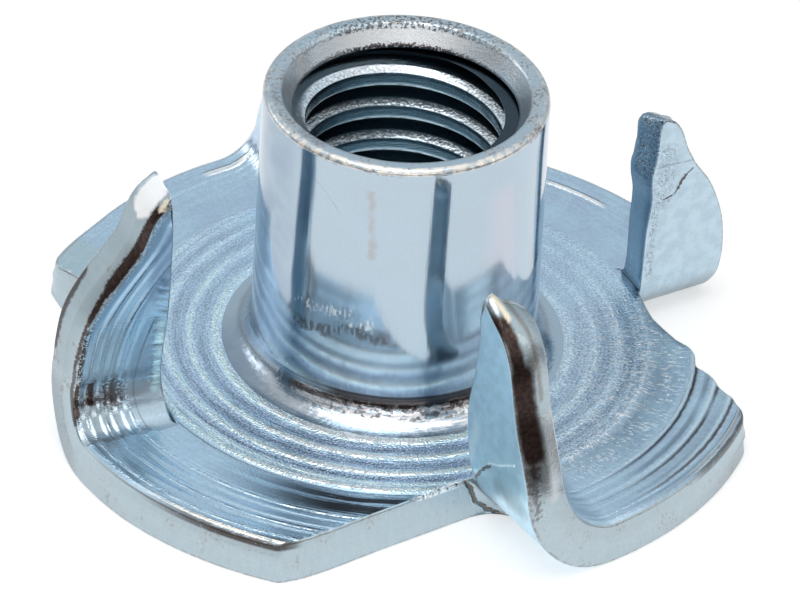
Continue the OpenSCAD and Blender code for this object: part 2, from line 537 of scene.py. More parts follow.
WEB_ROWS, WEB_STEPS = 12, 10
WEB_DEPTH = 0.12            # how far a web reaches into the metal that it joins
WEB_TOP = SHEET_T - 0.03
WEB_LIFT = 0.03             # how far a web's lower edge climbs with the bend
WEB_FALL = 1.05             # how far back from its end a web's lower edge reaches
WEB_TAIL = (0.8, 0.5)       # how a web runs out into the prong's underside, outwards and back
WEB_SUNK = 0.004            # how deep a web's side lies in the flange's edge
WEB_LEAST = 0.01            # how far back from its end a web reaches at least
BEND_PAST = 0.5             # how far past a web's end the prong's underside is followed
BEND_STEPS = 400            # places on a prong's underside by which a web finds it


def add_web(shell, prong):
    """The torn web at a slit's root: it rounds the corner between the flange's edge and the prong's
    underside, from the bottom to the flange's upper face."""
    end_q, reach_above, reach_below = prong.web
    q = np.linspace(-prong.lead, end_q + BEND_PAST, BEND_STEPS)
    along_root = on_blank(prong, np.full(BEND_STEPS, prong.slit[0][1]), q)
    under = roll_up(prong, along_root, np.zeros(BEND_STEPS))
    under_q = by_prong(prong, under[:, :2])[1]
    turn = np.linspace(0, math.pi / 2, WEB_STEPS + 1)
    low = WEB_LIFT * (1.5 - np.cos(turn))
    rows = []
    for share in np.linspace(0, 1, WEB_ROWS):
        z = low + (WEB_TOP - low) * share
        z = np.concatenate([z, [z[-1], z[-1], z[-1], z[0]]])
        foot_q = min(float(np.interp(z[-2], under[:, 2], under_q)), end_q - WEB_LEAST)
        foot_q = max(foot_q, end_q - WEB_FALL)
        reach = reach_below + (reach_above - reach_below) * share
        edge_q = end_q - (end_q - foot_q) * np.sin(turn)
        lean = through(prong.notch_lean, edge_q) * z[: len(turn)] / SHEET_T
        side = through(prong.notch, edge_q) - lean - WEB_SUNK
        outer, inner = side[-1] + reach, side[-1] - WEB_DEPTH
        tail = [outer + WEB_TAIL[0], outer, inner, side[0] - WEB_DEPTH]
        s = np.concatenate([side + reach * (1 - np.cos(turn)), tail])
        tail_q = foot_q - WEB_TAIL[1]
        q = np.concatenate([edge_q, [tail_q, tail_q - WEB_DEPTH, foot_q - WEB_DEPTH, end_q]])
        corners = np.column_stack([on_blank(prong, s, q), z])
        rows.append(shell.add_corners(corners))
    for lower, upper in zip(rows, rows[1:]):
        shell.add_band(lower, upper, "cut_edge")
    shell.add_face(rows[0], "cut_edge")
    shell.add_face(rows[-1][::-1], "cut_edge")


def arc(centre, radius, start, end, steps):
    """Points of an arc in the half section, without its first."""
    turn = np.radians(np.linspace(start, end, steps + 1)[1:])
    return [(centre[0] + radius * math.cos(a), centre[1] + radius * math.sin(a)) for a in turn]


def straight(start, end, steps):
    """Points of a straight line in the half section, without its first."""
    share = np.linspace(0, 1, steps + 1)[1:]
    return [(start[0] + (end[0] - start[0]) * t, start[1] + (end[1] - start[1]) * t) for t in share]


def barrel_section():
    """The drawn barrel's half section from the flange's upper face, over the rim and down the bore
    to the underside, as (finish, points)."""
    foot_r = BARREL_R + DRAFT
    foot_z = SHEET_T + BASE_FILLET
    rim_r = BARREL_R - DRAFT
    round_z = HEIGHT - RIM_ROUND
    top = (rim_r - RIM_ROUND, HEIGHT)
    lip = (LIP_R, LIP_Z)
    wall_r = SLEEVE_R + SLEEVE_GAP
    shelf = (wall_r, SHELF_Z)
    entry_mid = (BORE_R + ENTRY_R, ENTRY_R)
    entry_start = 180 + math.degrees(math.acos((entry_mid[0] - wall_r) / ENTRY_R))
    entry_z = ENTRY_R + ENTRY_R * math.sin(math.radians(entry_start))
    return [
        ("drawn_barrel", arc((foot_r + BASE_FILLET, foot_z), BASE_FILLET, 270, 180, 12)),
        ("drawn_barrel", straight((foot_r, foot_z), (rim_r, round_z), 12)),
        ("drawn_barrel", arc((top[0], round_z), RIM_ROUND, 0, 90, 8)),
        ("countersink", straight(top, CROWN, 3)),
        ("countersink", straight(CROWN, MOUTH, 2)),
        ("countersink", straight(MOUTH, lip, 8)),
        ("bore", [(LIP_R + 0.02, LIP_Z - 0.05), (LIP_R + 0.1, LIP_Z - 0.09), shelf]),
        ("bore", straight(shelf, (wall_r, entry_z), 6)),
        ("underside", arc(entry_mid, ENTRY_R, entry_start, 270, 8)),
    ]


def add_barrel(shell, angles, upper, lower):
    """The barrel between the flange's upper face and its underside."""
    cos, sin = np.cos(angles), np.sin(angles)
    row = upper
    for finish, points in barrel_section():
        for r, z in points:
            corners = np.column_stack([r * cos, r * sin, np.full(len(angles), z)])
            following = shell.add_corners(corners)
            shell.add_band(row, following, finish)
            row = following
    shell.add_band(row, lower, "underside")


def make_body():
    """The nut's pressed body, one closed mesh from rim to bore."""
    angles = np.radians(np.arange(COLUMNS) * 360 / COLUMNS)
    shell = Shell()
    upper, lower = add_sheet(shell, angles)
    add_barrel(shell, angles, upper, lower)
    for prong in PRONGS:
        add_web(shell, prong)
    mesh = bpy.data.meshes.new("pressed_body")
    mesh.from_pydata(np.vstack(shell.corners) * MM, [], shell.faces)
    mesh.polygons.foreach_set("material_index", shell.finishes)
    mesh.polygons.foreach_set("use_smooth", [True] * len(shell.faces))
    blank = mesh.attributes.new("blank", "FLOAT_VECTOR", "POINT")
    blank.data.foreach_set("vector", (np.vstack(shell.blank) * MM).astype(np.float32).ravel())
    numbers = {"ring": np.concatenate(shell.ring) * MM, "flap": np.concatenate(shell.flap)}
    for name, values in numbers.items():
        made = mesh.attributes.new(name, "FLOAT", "POINT")
        made.data.foreach_set("value", values.astype(np.float32))
    mesh.validate()
    mesh.update()
    return link("pressed_body", mesh)


# ================================================================ nodes

class Field:
    """A node's output with which sums can be written."""

    def __init__(self, tree, socket):
        self.tree, self.socket = tree, socket

    def maths(self, operation, *others):
        return self.tree.node("ShaderNodeMath", dict(operation=operation), [self, *others])

    def __add__(self, other):
        return self.maths("ADD", other)

    def __mul__(self, other):
        return self.maths("MULTIPLY", other)

    def __sub__(self, other):
        return self.maths("SUBTRACT", other)

    def __rsub__(self, other):
        return self.tree.node("ShaderNodeMath", dict(operation="SUBTRACT"), [other, self])

    def __truediv__(self, other):
        return self.maths("DIVIDE", other)

    def __abs__(self):
        return self.maths("ABSOLUTE")

    def __lt__(self, other):
        return self.maths("LESS_THAN", other)

    def __gt__(self, other):
        return self.maths("GREATER_THAN", other)

    def least(self, other):
        return self.maths("MINIMUM", other)

    def most(self, other):
        return self.maths("MAXIMUM", other)

    def between(self, low, high):
        """0 at low and 1 at high, eased. high may be the lesser of the two."""
        return self.tree.node("ShaderNodeMapRange", dict(interpolation_type="SMOOTHSTEP"), {
            "Value": self, "From Min": low, "From Max": high})

    __radd__, __rmul__ = __add__, __mul__


def choose(mask, chosen, otherwise):
    """One number where the mask is 1 and the other where it is 0."""
    return otherwise + (chosen - otherwise) * mask


class Tree:
    """A node tree under construction."""

    def __init__(self, nodes, links):
        self.nodes, self.links = nodes, links

    def node(self, kind, settings=None, inputs=None, output=0):
        """Adds a node: its settings first, then values or links for its sockets, by name or in order."""
        made = self.nodes.new(kind)
        for name, value in (settings or {}).items():
            setattr(made, name, value)
        pairs = inputs.items() if isinstance(inputs, dict) else enumerate(inputs or [])
        for name, value in pairs:
            if isinstance(value, Field):
                self.links.new(value.socket, made.inputs[name])
            else:
                made.inputs[name].default_value = value
        return Field(self, made.outputs[output]) if len(made.outputs) else made

    def axis(self, place, name):
        """One coordinate of a place."""
        return self.node("ShaderNodeSeparateXYZ", None, [place], name)


def material(name, build):
    """A material, whose shader a function builds in its empty tree."""
    made = bpy.data.materials.new(name)
    made.use_nodes = True
    made.node_tree.nodes.clear()
    tree = Tree(made.node_tree.nodes, made.node_tree.links)
    shader = build(tree)
    tree.node("ShaderNodeOutputMaterial", None, {"Surface": shader})
    return made


# ================================================================ the thread

THREAD_ROWS = 16            # rows of corners along one pitch
THREAD_COLUMNS = 144        # corners round the bore
THREAD_SHARP = 28           # angle from which the thread's ridges are sharp
THREAD_SIZES = {            # inputs of the thread's nodes
    "Pitch": PITCH,
    "Crest Radius": BORE_R,
    "Root Radius": THREAD_ROOT_R,
    "Crest Flat": 0.35,
    "Root Flat": 0.125,
    "Start": 0.6545,
    "Sleeve Radius": SLEEVE_R,
    "Low": ENTRY_R - math.sqrt(ENTRY_R**2 - (BORE_R + ENTRY_R - SLEEVE_R) ** 2),
    "High": LIP_Z - 0.105,
    "Entry Radius": ENTRY_R,
    "Lip Radius": LIP_R,
    "Lip Height": LIP_Z,
    "Lip Slope": 5.0,
}


def thread_radius(size, z, round_share):
    """The thread's distance from the axis at a height and a share of a turn, with its run-in at the
    lip and its run-out over the rounded entry."""
    phase = (z / size["Pitch"] - round_share - size["Start"]).maths("FRACT")
    flank = 0.5 - (size["Crest Flat"] + size["Root Flat"]) * 0.5
    depth = ((abs(phase - 0.5) - size["Crest Flat"] * 0.5) / flank).most(0).least(1)
    radius = size["Crest Radius"] + (size["Root Radius"] - size["Crest Radius"]) * depth
    entry_drop = (size["Entry Radius"] - z).most(0)
    entry_reach = size["Entry Radius"] * size["Entry Radius"] - entry_drop * entry_drop
    entry = size["Crest Radius"] + size["Entry Radius"] - entry_reach.maths("SQRT")
    lip = size["Lip Radius"] - (size["Lip Height"] - z) * size["Lip Slope"]
    return radius.most(entry).most(lip).least(size["Sleeve Radius"])


def thread_nodes(metal):
    """Nodes that turn a flat grid into a threaded sleeve, and the identifiers of their inputs. The
    grid's columns run round the bore and its rows up the helix. Its first two rows and its last are
    the sleeve's outside."""
    group = bpy.data.node_groups.new("thread", "GeometryNodeTree")
    group.interface.new_socket("Geometry", in_out="OUTPUT", socket_type="NodeSocketGeometry")
    names = {}
    for name in THREAD_SIZES:
        made = group.interface.new_socket(name, in_out="INPUT", socket_type="NodeSocketFloat")
        names[name] = made.identifier
    tree = Tree(group.nodes, group.links)
    size = {name: tree.node("NodeGroupInput", output=name) for name in THREAD_SIZES}
    rows = math.ceil((THREAD_SIZES["High"] - THREAD_SIZES["Low"] + PITCH) / PITCH * THREAD_ROWS)
    grid = tree.node("GeometryNodeMeshGrid", None, {
        "Size X": 1.0, "Size Y": 1.0, "Vertices X": THREAD_COLUMNS + 1, "Vertices Y": rows + 4})
    place = tree.node("GeometryNodeInputPosition")
    across, up = tree.axis(place, "X"), tree.axis(place, "Y")
    round_share = 0.5 - across
    row = ((up + 0.5) * (rows + 3)).maths("ROUND") - 2

    z = size["Low"] + size["Pitch"] * (row * (1 / THREAD_ROWS) + round_share - 1)
    z = z.most(size["Low"]).least(size["High"])
    radius = thread_radius(size, z, round_share)
    outside = (row < -0.5).most(row > rows + 0.5)
    z = choose((row > -1.5) * (row < -0.5), size["Low"], choose(outside, size["High"], z))
    radius = choose(outside, size["Sleeve Radius"], radius)
    turn = round_share * (2 * math.pi)
    spot = tree.node("ShaderNodeCombineXYZ", None, {
        "X": radius * turn.maths("COSINE"), "Y": radius * turn.maths("SINE"), "Z": z})
    spot = tree.node("ShaderNodeVectorMath", dict(operation="SCALE"), {"Vector": spot, "Scale": MM})

    made = tree.node("GeometryNodeSetPosition", None, {"Geometry": grid, "Position": spot})
    made = tree.node("GeometryNodeMergeByDistance", None, {"Geometry": made, "Distance": 0.001 * MM})
    made = tree.node("GeometryNodeSetShadeSmooth", None, {"Geometry": made, "Shade Smooth": True})
    made = tree.node("GeometryNodeRealizeInstances", None, {"Geometry": made})
    made = tree.node("GeometryNodeSetMaterial", None, {"Geometry": made, "Material": metal})
    tree.node("NodeGroupOutput", None, {"Geometry": made})
    return group, names


def make_thread(metal):
    """The tapped thread, as a sleeve in the bore."""
    thread = link("thread", bpy.data.meshes.new("grid"))
    group, names = thread_nodes(metal)
    modifier = thread.modifiers.new("thread", "NODES")
    modifier.node_group = group
    for name, value in THREAD_SIZES.items():
        modifier[names[name]] = float(value)
    evaluated = thread.evaluated_get(bpy.context.evaluated_depsgraph_get())
    mesh = bpy.data.meshes.new_from_object(evaluated)
    mesh.name = "thread"
    thread.modifiers.clear()
    thread.data = mesh
    mesh.set_sharp_from_angle(angle=math.radians(THREAD_SHARP))
    return thread


# ================================================================ finishes

FLAPS_BEYOND = 5.9          # every flap lies further out than this s
MIDDLE_RING = 6.5


class Skin:
    """Where a point of the nut is, in millimetres: its place, its place on the flat blank and the
    ring that it lies on. Patterns are made of these."""

    def __init__(self, tree):
        self.tree = tree
        self.place = self.in_mm(tree.node("ShaderNodeTexCoord", output="Object"))
        self.blank = self.in_mm(self.attribute("blank", "Vector"))
        self.ring = self.attribute("ring", "Fac") / MM
        self.flap = self.attribute("flap", "Fac")
        x, y, self.height = (tree.axis(self.blank, name) for name in "XYZ")
        self.flat = self.vector("MULTIPLY", self.blank, (1, 1, 0))
        self.angle = y.maths("ARCTAN2", x) * (180 / math.pi)
        self.prongs = {}

    def attribute(self, name, output):
        return self.tree.node("ShaderNodeAttribute", dict(attribute_name=name), output=output)

    def vector(self, operation, *values, output=0):
        return self.tree.node("ShaderNodeVectorMath", dict(operation=operation), values, output)

    def in_mm(self, place):
        return self.vector("DIVIDE", place, (MM, MM, MM))

    def by_prong(self, number):
        """s and q by a prong, and 1 on that prong and 0 elsewhere. The flap's number is blended over
        a flap's foot, so it passes through other numbers there, but never as far out as a flap."""
        if number not in self.prongs:
            a = math.radians(PRONGS[number].angle)
            ways = (math.cos(a), math.sin(a), 0), (math.sin(a), -math.cos(a), 0)
            s, q = (self.vector("DOT_PRODUCT", self.flat, way, output="Value") for way in ways)
            on_it = (abs(self.flap - (number + 1)) < 0.5) * (s > FLAPS_BEYOND)
            self.prongs[number] = s, q, on_it
        return self.prongs[number]

    def on_rings(self, along, across):
        """The blank's place in which patterns are drawn out along its rings: sizes in millimetres
        that they have at the flange's middle radius."""
        unit = self.vector("NORMALIZE", self.flat)
        turned = self.tree.node("ShaderNodeVectorMath", dict(operation="SCALE"),
                                {"Vector": unit, "Scale": MIDDLE_RING / along})
        lift = self.tree.node("ShaderNodeCombineXYZ", None, {"Z": self.ring / across})
        return self.vector("ADD", turned, lift)

    def noise(self, place, size=1.0, detail=2.0):
        """Noise from 0 to 1. size is that of its spots in millimetres, one number or one each way."""
        size = (size,) * 3 if isinstance(size, (int, float)) else size
        place = self.vector("DIVIDE", place, size)
        settings = {"Vector": place, "Scale": 1.0, "Detail": detail, "Distortion": 0.0}
        return self.tree.node("ShaderNodeTexNoise", None, settings, "Fac")

    def distance(self, place, start, end):
        """How far a place is from the straight line between two points."""
        length2 = sum((e - s) ** 2 for s, e in zip(start, end))
        way = tuple(e - s for s, e in zip(start, end))
        out = self.vector("SUBTRACT", place, start)
        share = self.vector("DOT_PRODUCT", out, tuple(w / length2 for w in way), output="Value")
        foot = self.tree.node("ShaderNodeVectorMath", dict(operation="SCALE"),
                              {"Vector": way, "Scale": share.most(0).least(1)})
        return self.vector("DISTANCE", out, foot, output="Value")

    def line(self, place, points, width, ragged=0.0, grain=0.12, soft=0.5):
        """1 along a line through points and 0 beyond its width. ragged is how far its edge strays,
        grain the size of its ins and outs, and soft the share of the width that fades."""
        points = [tuple(p) + (0,) * (3 - len(p)) for p in points]
        away = self.distance(place, points[0], points[1])
        for start, end in zip(points[1:], points[2:]):
            away = away.least(self.distance(place, start, end))
        if ragged:
            away = away + (self.noise(place, grain, 3.0) - 0.5) * (2 * ragged)
        return away.between(width / 2, width / 2 * (1 - soft))

    def on_wall(self, spots, *edge):
        """A line along the barrel's wall, through spots given by angle and height."""
        points = []
        for angle, z in spots:
            a = math.radians(angle)
            points.append((BARREL_R * math.cos(a), BARREL_R * math.sin(a), z))
        return self.line(self.place, points, *edge)

    def on_prong(self, number, spots, *edge):
        """A line along the flat blank, through spots given by their s and q by a prong."""
        points = [tuple(on_blank(PRONGS[number], s, q)[0]) for s, q in spots]
        return self.line(self.flat, points, *edge)

    def profile(self, value, stops):
        """A smooth curve of numbers from 0 to 1 over a value, given at stops."""
        low, high = stops[0][0], stops[-1][0]
        ramp = self.tree.node("ShaderNodeValToRGB", None, {"Fac": (value - low) / (high - low)})
        elements = ramp.socket.node.color_ramp.elements
        while len(elements) < len(stops):
            elements.new(1.0)
        for element, (at, level) in zip(elements, stops):
            element.position = (at - low) / (high - low)
            element.color = (level, level, level, 1)
        return ramp

    def by_angle(self, *stops):
        """A profile over the angle round the nut, in degrees."""
        return self.profile(self.angle, stops)

    def mix(self, factor, first, second, blend="MIX"):
        return self.tree.node("ShaderNodeMix", dict(data_type="RGBA", blend_type=blend), {
            0: factor, 6: first, 7: second}, 2)

    def layers(self, colour, *layers):
        """A colour with others laid over it in turn, each given as its mask and its shade."""
        for mask, shade in layers:
            colour = self.mix(mask, colour, shade)
        return colour

    def darker(self, colour, factor):
        """A colour multiplied by a number."""
        grey = self.tree.node("ShaderNodeCombineColor", None, [factor, factor, factor])
        return self.mix(1.0, colour, grey, "MULTIPLY")

    def bump(self, *reliefs):
        """A normal from reliefs laid over each other, each a height from 0 to 1 and its depth in
        millimetres."""
        normal = None
        for height, depth in reliefs:
            inputs = {"Height": height, "Strength": 1.0, "Distance": depth * MM}
            if normal is not None:
                inputs["Normal"] = normal
            normal = self.tree.node("ShaderNodeBump", None, inputs)
        return normal

    def metal(self, colour, roughness, normal, matt=None):
        """The finish itself; where matt is 1, it is a diffuse paint rather than metal, so that painted
        highlights there show brighter.
        """
        inputs = {"Base Color": colour, "Metallic": 1.0, "Roughness": roughness, "Normal": normal}
        if matt is not None:
            inputs["Metallic"] = 1 - matt
        return self.tree.node("ShaderNodeBsdfPrincipled", None, inputs)


def greatest(*masks):
    """The greatest of several masks at each point."""
    most = masks[0]
    for mask in masks[1:]:
        most = most.most(mask)
    return most


BROWN = (0.085, 0.052, 0.040, 1)        # what pressing oil and dirt leave in the marks
BLACK_OIL = (0.035, 0.030, 0.032, 1)
HIGHLIGHT_WHITE = (0.95, 0.96, 0.97, 1)           # white, painted for highlights, glints and bright reflections
TORN = (0.12, 0.085, 0.065, 1)          # dirt in the tear at the front prong's foot


# ---------------------------------------------------------------- drawn barrel

ZINC = (0.475, 0.575, 0.655, 1)         # passivated zinc where it was drawn
CLOUDED_ZINC = (0.50, 0.60, 0.72, 1)
RUST = (0.42, 0.33, 0.26, 1)
DRIED_OIL = (0.30, 0.22, 0.19, 1)
PINK_FILM = (0.62, 0.60, 0.68, 1)
PURPLE_FILM = (0.34, 0.35, 0.53, 1)
BLUE_FILM = (0.27, 0.36, 0.48, 1)
SCRATCH = (0.2, 0.25, 0.3, 1)
SATIN_RIM = (0.56, 0.62, 0.66, 1)
# glints painted on the rim
RIM_GLINT = (1.0, 0.96, 0.88, 1)
RIM_SPECK = (0.26, 0.19, 0.15, 1)
# painted dark reflection on the barrel's wall
DARK_WALL_REFLECTION = (0.09, 0.075, 0.075, 1)
# oil flecks and a painted shadow line on the fillet
FOOT_OIL_AND_SHADE = (0.075, 0.055, 0.052, 1)
DULL_FOOT = (0.28, 0.30, 0.33, 1)
# painted highlight on the fillet
FILLET_HIGHLIGHT = (1.0, 0.95, 0.94, 1)


def wall_stains(skin, colour, cloud, rusty):
    """The wall's stains, its tinted films and a scratch."""
    streak = skin.on_wall([(-161, 7.9), (-153, 7.55), (-147, 7.1)], 0.08, 0.02, 0.1, 1.0)
    pink = skin.on_wall([(-78, 7.2), (-76, 4.8)], 1.5, 0.3, 0.8, 1.0)
    purple = skin.on_wall([(-38, 7.6), (-37, 3.0)], 1.1, 0.1, 0.8, 1.0)
    blue = skin.by_angle(
        (-180, 0.8), (-172, 0.45), (-165, 0), (140, 0), (150, 0.8), (165, 1), (180, 0.8))
    scratch = skin.on_wall([(-91, 7.75), (-86, 7.55)], 0.05, 0.01)
    return skin.layers(
        colour,
        (rusty * 0.35, RUST),
        (streak * 0.6, DRIED_OIL),
        (pink * 0.5, PINK_FILM),
        (purple * 0.5, PURPLE_FILM),
        (blue * (cloud.between(0.3, 0.7) * 0.5 + 0.4), BLUE_FILM),
        (scratch * 0.6, SCRATCH))


def barrel_rim(skin, colour, cloud, grit, height):
    """The satin rim, broken by brown specks, with glints painted on its front. Returns the colour and
    both masks.
    """
    rim = height.between(HEIGHT - 0.16, HEIGHT - 0.12)
    front = skin.by_angle((-180, 0.5), (-165, 1), (-90, 1), (-60, 0.4), (180, 0.5))
    patches = (skin.noise(skin.place, 0.22, 2.0) + (grit - 0.5) * 0.3).between(0.46, 0.54)
    # glints painted on the rim's front
    glints = rim * patches * front
    specks = height.between(HEIGHT - 0.20, HEIGHT - 0.15)
    specks = specks * (grit + (cloud - 0.5) * 0.6).between(0.58, 0.68)
    colour = skin.layers(
        colour,
        (rim, SATIN_RIM),
        (glints * 0.9, RIM_GLINT),
        (specks * (1 - glints) * 0.65, RIM_SPECK))
    return colour, rim, glints


def wall_reflections(skin, colour):
    """Painted reflections of the flange in the wall above its foot: a dark band, and a bright one
    over it.
    """
    # a painted dark reflection of the flange's rings
    dark_reflection = skin.on_wall(
        [(-166, 3.35), (-150, 3.5), (-138, 3.72), (-126, 3.5)], 0.5, 0.30, 0.18, 0.8)
    dark_reflection = dark_reflection * skin.noise(skin.place, (0.1, 0.1, 0.4), 3.0).between(0.38, 0.55)
    # a painted bright reflection of the flange's rings
    bright = skin.on_wall([(-164, 3.95), (-150, 4.15), (-133, 3.95)], 0.55, 0.3, 0.15, 0.9)
    bright = bright * skin.noise(skin.place, (0.09, 0.09, 0.3), 3.0).between(0.45, 0.60)
    return skin.layers(colour, (dark_reflection * 0.75, DARK_WALL_REFLECTION), (bright * 0.7, HIGHLIGHT_WHITE)), dark_reflection, bright


def fillet_highlight(skin, colour, height, tool, mottle):
    """The fillet at the wall's foot: a painted highlight on its front, broken by oil flecks and by a
    painted shadow line along its top. Returns the colour and the highlight."""
    drawn_out = skin.noise(skin.on_rings(0.55, 0.06), 1.0, 3.0)
    facing = skin.by_angle(
        (-180, 0.0), (-160, 0.0), (-152, 0.35), (-144, 1), (-90, 1), (-75, 0.3), (-60, 0), (180, 0.0))
    dull = skin.by_angle(
        (-180, 0.5), (-165, 0.9), (-152, 0.6), (-142, 0), (120, 0), (160, 0.3), (180, 0.5))
    rough_z = height + (drawn_out - 0.5) * 0.34 + (mottle - 0.5) * 0.3
    # a painted shadow line along the fillet's top, on its front
    line = rough_z.between(1.49, 1.57) * height.between(1.86, 1.80) * facing
    flecks = rough_z.between(1.22, 1.34) * rough_z.between(1.58, 1.50)
    flecks = flecks * mottle.between(0.50, 0.57) * facing
    streaks = line.most(flecks * 0.8)
    # the painted highlight on the fillet's front
    shine = height.between(1.62, 1.52) * height.between(SHEET_T, SHEET_T + 0.04) * facing
    broken = (drawn_out + (tool - 0.5) * 0.8 + (mottle - 0.5) * 0.4).between(0.40, 0.58)
    shine = shine * (1 - streaks) * broken
    colour = skin.layers(
        colour,
        (streaks * 0.9, FOOT_OIL_AND_SHADE),
        (height.between(1.7, 1.5) * dull * 0.75, DULL_FOOT),
        (shine * 0.8, FILLET_HIGHLIGHT))
    return colour, shine


def drawn_barrel(tree):
    """The barrel's drawn wall, which shines, with painted reflections above its foot; its satin rim,
    with painted glints; and the fillet at its foot, with a painted highlight and shadow line.
    """
    skin = Skin(tree)
    height = tree.axis(skin.place, "Z")
    drawn = skin.noise(skin.place, (0.07, 0.07, 2.5), 3.0)
    cloud = skin.noise(skin.place, 0.9, 2.0)
    fine = skin.noise(skin.place, 0.05, 2.0)
    grit = skin.noise(skin.place, 0.09, 3.0)
    tool = skin.noise(skin.on_rings(2.0, 0.05), 1.0, 3.0)
    mottle = skin.noise(skin.place, 0.16, 3.0)
    rusty = skin.on_wall([(-134.5, 7.9), (-134, 7.0), (-133, 6.0)], 0.30, 0.14, 0.25, 1.0)
    foot = height.between(SHEET_T + BASE_FILLET * 0.95, SHEET_T + BASE_FILLET * 0.55)

    colour = skin.layers(ZINC, (cloud.between(0.35, 0.7) * 0.22, CLOUDED_ZINC))
    colour = skin.darker(colour, 0.94 + fine * 0.12)
    colour = wall_stains(skin, colour, cloud, rusty)
    colour, rim, glints = barrel_rim(skin, colour, cloud, grit, height)
    # painted reflections of the flange in the wall above its foot
    colour, dark_reflection, bright = wall_reflections(skin, colour)
    colour, shine = fillet_highlight(skin, colour, height, tool, mottle)
    roughness = 0.07 + cloud * 0.06 + rusty * 0.1 + rim * (0.24 - glints * 0.08)
    roughness = roughness + dark_reflection * 0.15 + bright * 0.25 + foot * 0.10 + shine * 0.12
    normal = skin.bump((drawn, 0.0012), ((tool * 0.5 + mottle) * foot, 0.012), (grit * rim, 0.012))
    return skin.metal(colour, roughness, normal, glints * 0.5)


# ---------------------------------------------------------------- pressed face

PRESSED_ZINC = (0.54, 0.70, 0.82, 1)    # where the die struck the face
CLOUDED_FACE = (0.47, 0.57, 0.72, 1)
STRUCK_FACE = (0.58, 0.80, 0.96, 1)
# painted light
LIT_FACE = (0.78, 0.96, 1.0, 1)
LEFT_FACE = (0.41, 0.60, 0.76, 1)
BETWEEN_RINGS = (0.36, 0.50, 0.76, 1)
THIN_GROOVE = (0.10, 0.10, 0.115, 1)
# painted highlight on the grooves' crests
CREST_HIGHLIGHT = (0.86, 0.95, 0.96, 1)
GROOVE_DIRT = (0.10, 0.075, 0.07, 1)
GOLD_GLINT = (1.0, 0.95, 0.84, 1)
FLASH = (1.0, 1.0, 1.0, 1)
GROOVE_FILM = (0.21, 0.34, 0.50, 1)
SHADED_SLIT = (0.20, 0.31, 0.46, 1)
GREY_GROOVES = (0.31, 0.38, 0.42, 1)
BLUE_GROOVES = (0.22, 0.35, 0.48, 1)
GREY_BEND = (0.42, 0.50, 0.56, 1)
PALE_CORNER = (0.56, 0.68, 0.70, 1)
# painted highlight along the left prong's slit edge
SLIT_HIGHLIGHT = (0.64, 0.90, 1.0, 1)

# How strongly the face shows the die's rings, and the scratches that rubbed them out, by angle.
STRUCK = [
    (-180, 0.58), (-160, 0.85), (-130, 1.0), (-105, 0.8), (-85, 0.4), (-60, 0.3), (-20, 0.2),
    (5, 0.05), (50, 0.05), (90, 0.12), (120, 0.3), (150, 0.42), (180, 0.58)]
RUBBED = [(-180, 0), (-95, 0), (-75, 0.75), (-40, 1), (-22, 0.8), (-6, 0), (180, 0)]

# How bright the rings are, how much shade is rubbed into them and how strong the scratches are, by
# distance from the axis.
BRIGHT_RINGS = [
    (4.3, 0.2), (4.42, 0.6), (4.60, 1.0), (4.74, 0.35), (4.95, 0.05), (5.12, 0.35), (5.25, 1.0),
    (5.38, 0.3), (5.60, 0.0), (5.78, 0.4), (5.90, 0.95), (6.02, 0.3), (6.15, 0.0), (6.32, 0.6),
    (6.45, 0.35), (6.6, 1.0), (6.70, 0.5), (6.80, 0.0), (6.9, 0.4), (7.7, 0.4), (7.76, 1.0),
    (7.84, 0.35), (8.40, 0.35), (8.48, 0.95), (8.56, 0.25), (8.9, 0.3), (8.99, 0.95),
    (9.07, 0.3), (9.2, 0.8), (9.3, 0.3), (9.5, 0.4)]
RUBBED_RINGS = [
    (4.4, 0.3), (5.3, 0.2), (5.6, 0.5), (5.95, 0.3), (6.28, 0.9), (6.6, 0.4), (6.93, 1.0),
    (7.2, 0.5), (7.6, 0.4), (7.9, 0.0), (9.5, 0.0)]
SCRATCHED_RINGS = [
    (4.4, 0.4), (4.7, 0.2), (5.0, 0.25), (5.3, 0.7), (5.6, 0.15), (5.95, 0.9), (6.25, 0.15),
    (6.6, 1.0), (6.9, 0.4), (7.15, 0.8), (7.5, 0.25), (7.7, 0.0), (9.5, 0.0)]

# The stepped grooves nearer the rim: dark lines in them and pale lines painted on their crests as
# highlights, by distance from the axis, and how strongly both show, by angle.
DARK_LINES = [
    (7.81, 0.0), (7.84, 1.0), (7.88, 1.0), (7.92, 0.15), (8.05, 0.1), (8.20, 0.4), (8.34, 0.0),
    (8.43, 0.0), (8.46, 1.0), (8.50, 1.0), (8.54, 0.2), (8.70, 0.3), (8.82, 0.0), (8.88, 0.0),
    (8.91, 1.0), (8.95, 1.0), (8.99, 0.1), (9.15, 0.1), (9.22, 0.7), (9.3, 0.1), (9.5, 0.1)]
CREST_HIGHLIGHTS = [
    (7.68, 0.0), (7.74, 0.8), (7.80, 0.0), (8.30, 0.0), (8.37, 1.0), (8.43, 0.0), (8.76, 0.0),
    (8.83, 0.9), (8.88, 0.0), (9.5, 0.0)]
GROOVED = [
    (-180, 0.0), (-150, 0.1), (-120, 0.25), (-95, 0.1), (-80, 0.15), (-68, 0.8), (-45, 1.0),
    (-25, 0.8), (0, 0.1), (40, 0.0), (150, 0.0), (180, 0.0)]
LEFT_FURROWS = [
    (7.51, 0), (7.56, 0.8), (7.61, 0), (8.19, 0), (8.235, 1.0), (8.28, 0), (8.79, 0),
    (8.835, 1.0), (8.88, 0), (9.5, 0)]
LEFT_FILMS = [
    (7.96, 0.0), (8.02, 1.0), (8.09, 1.0), (8.15, 0.0), (8.68, 0.0), (8.74, 1.0), (8.80, 0.6),
    (8.83, 0.0), (8.99, 0.0), (9.06, 1.0), (9.15, 1.0), (9.2, 0.0), (9.5, 0.0)]


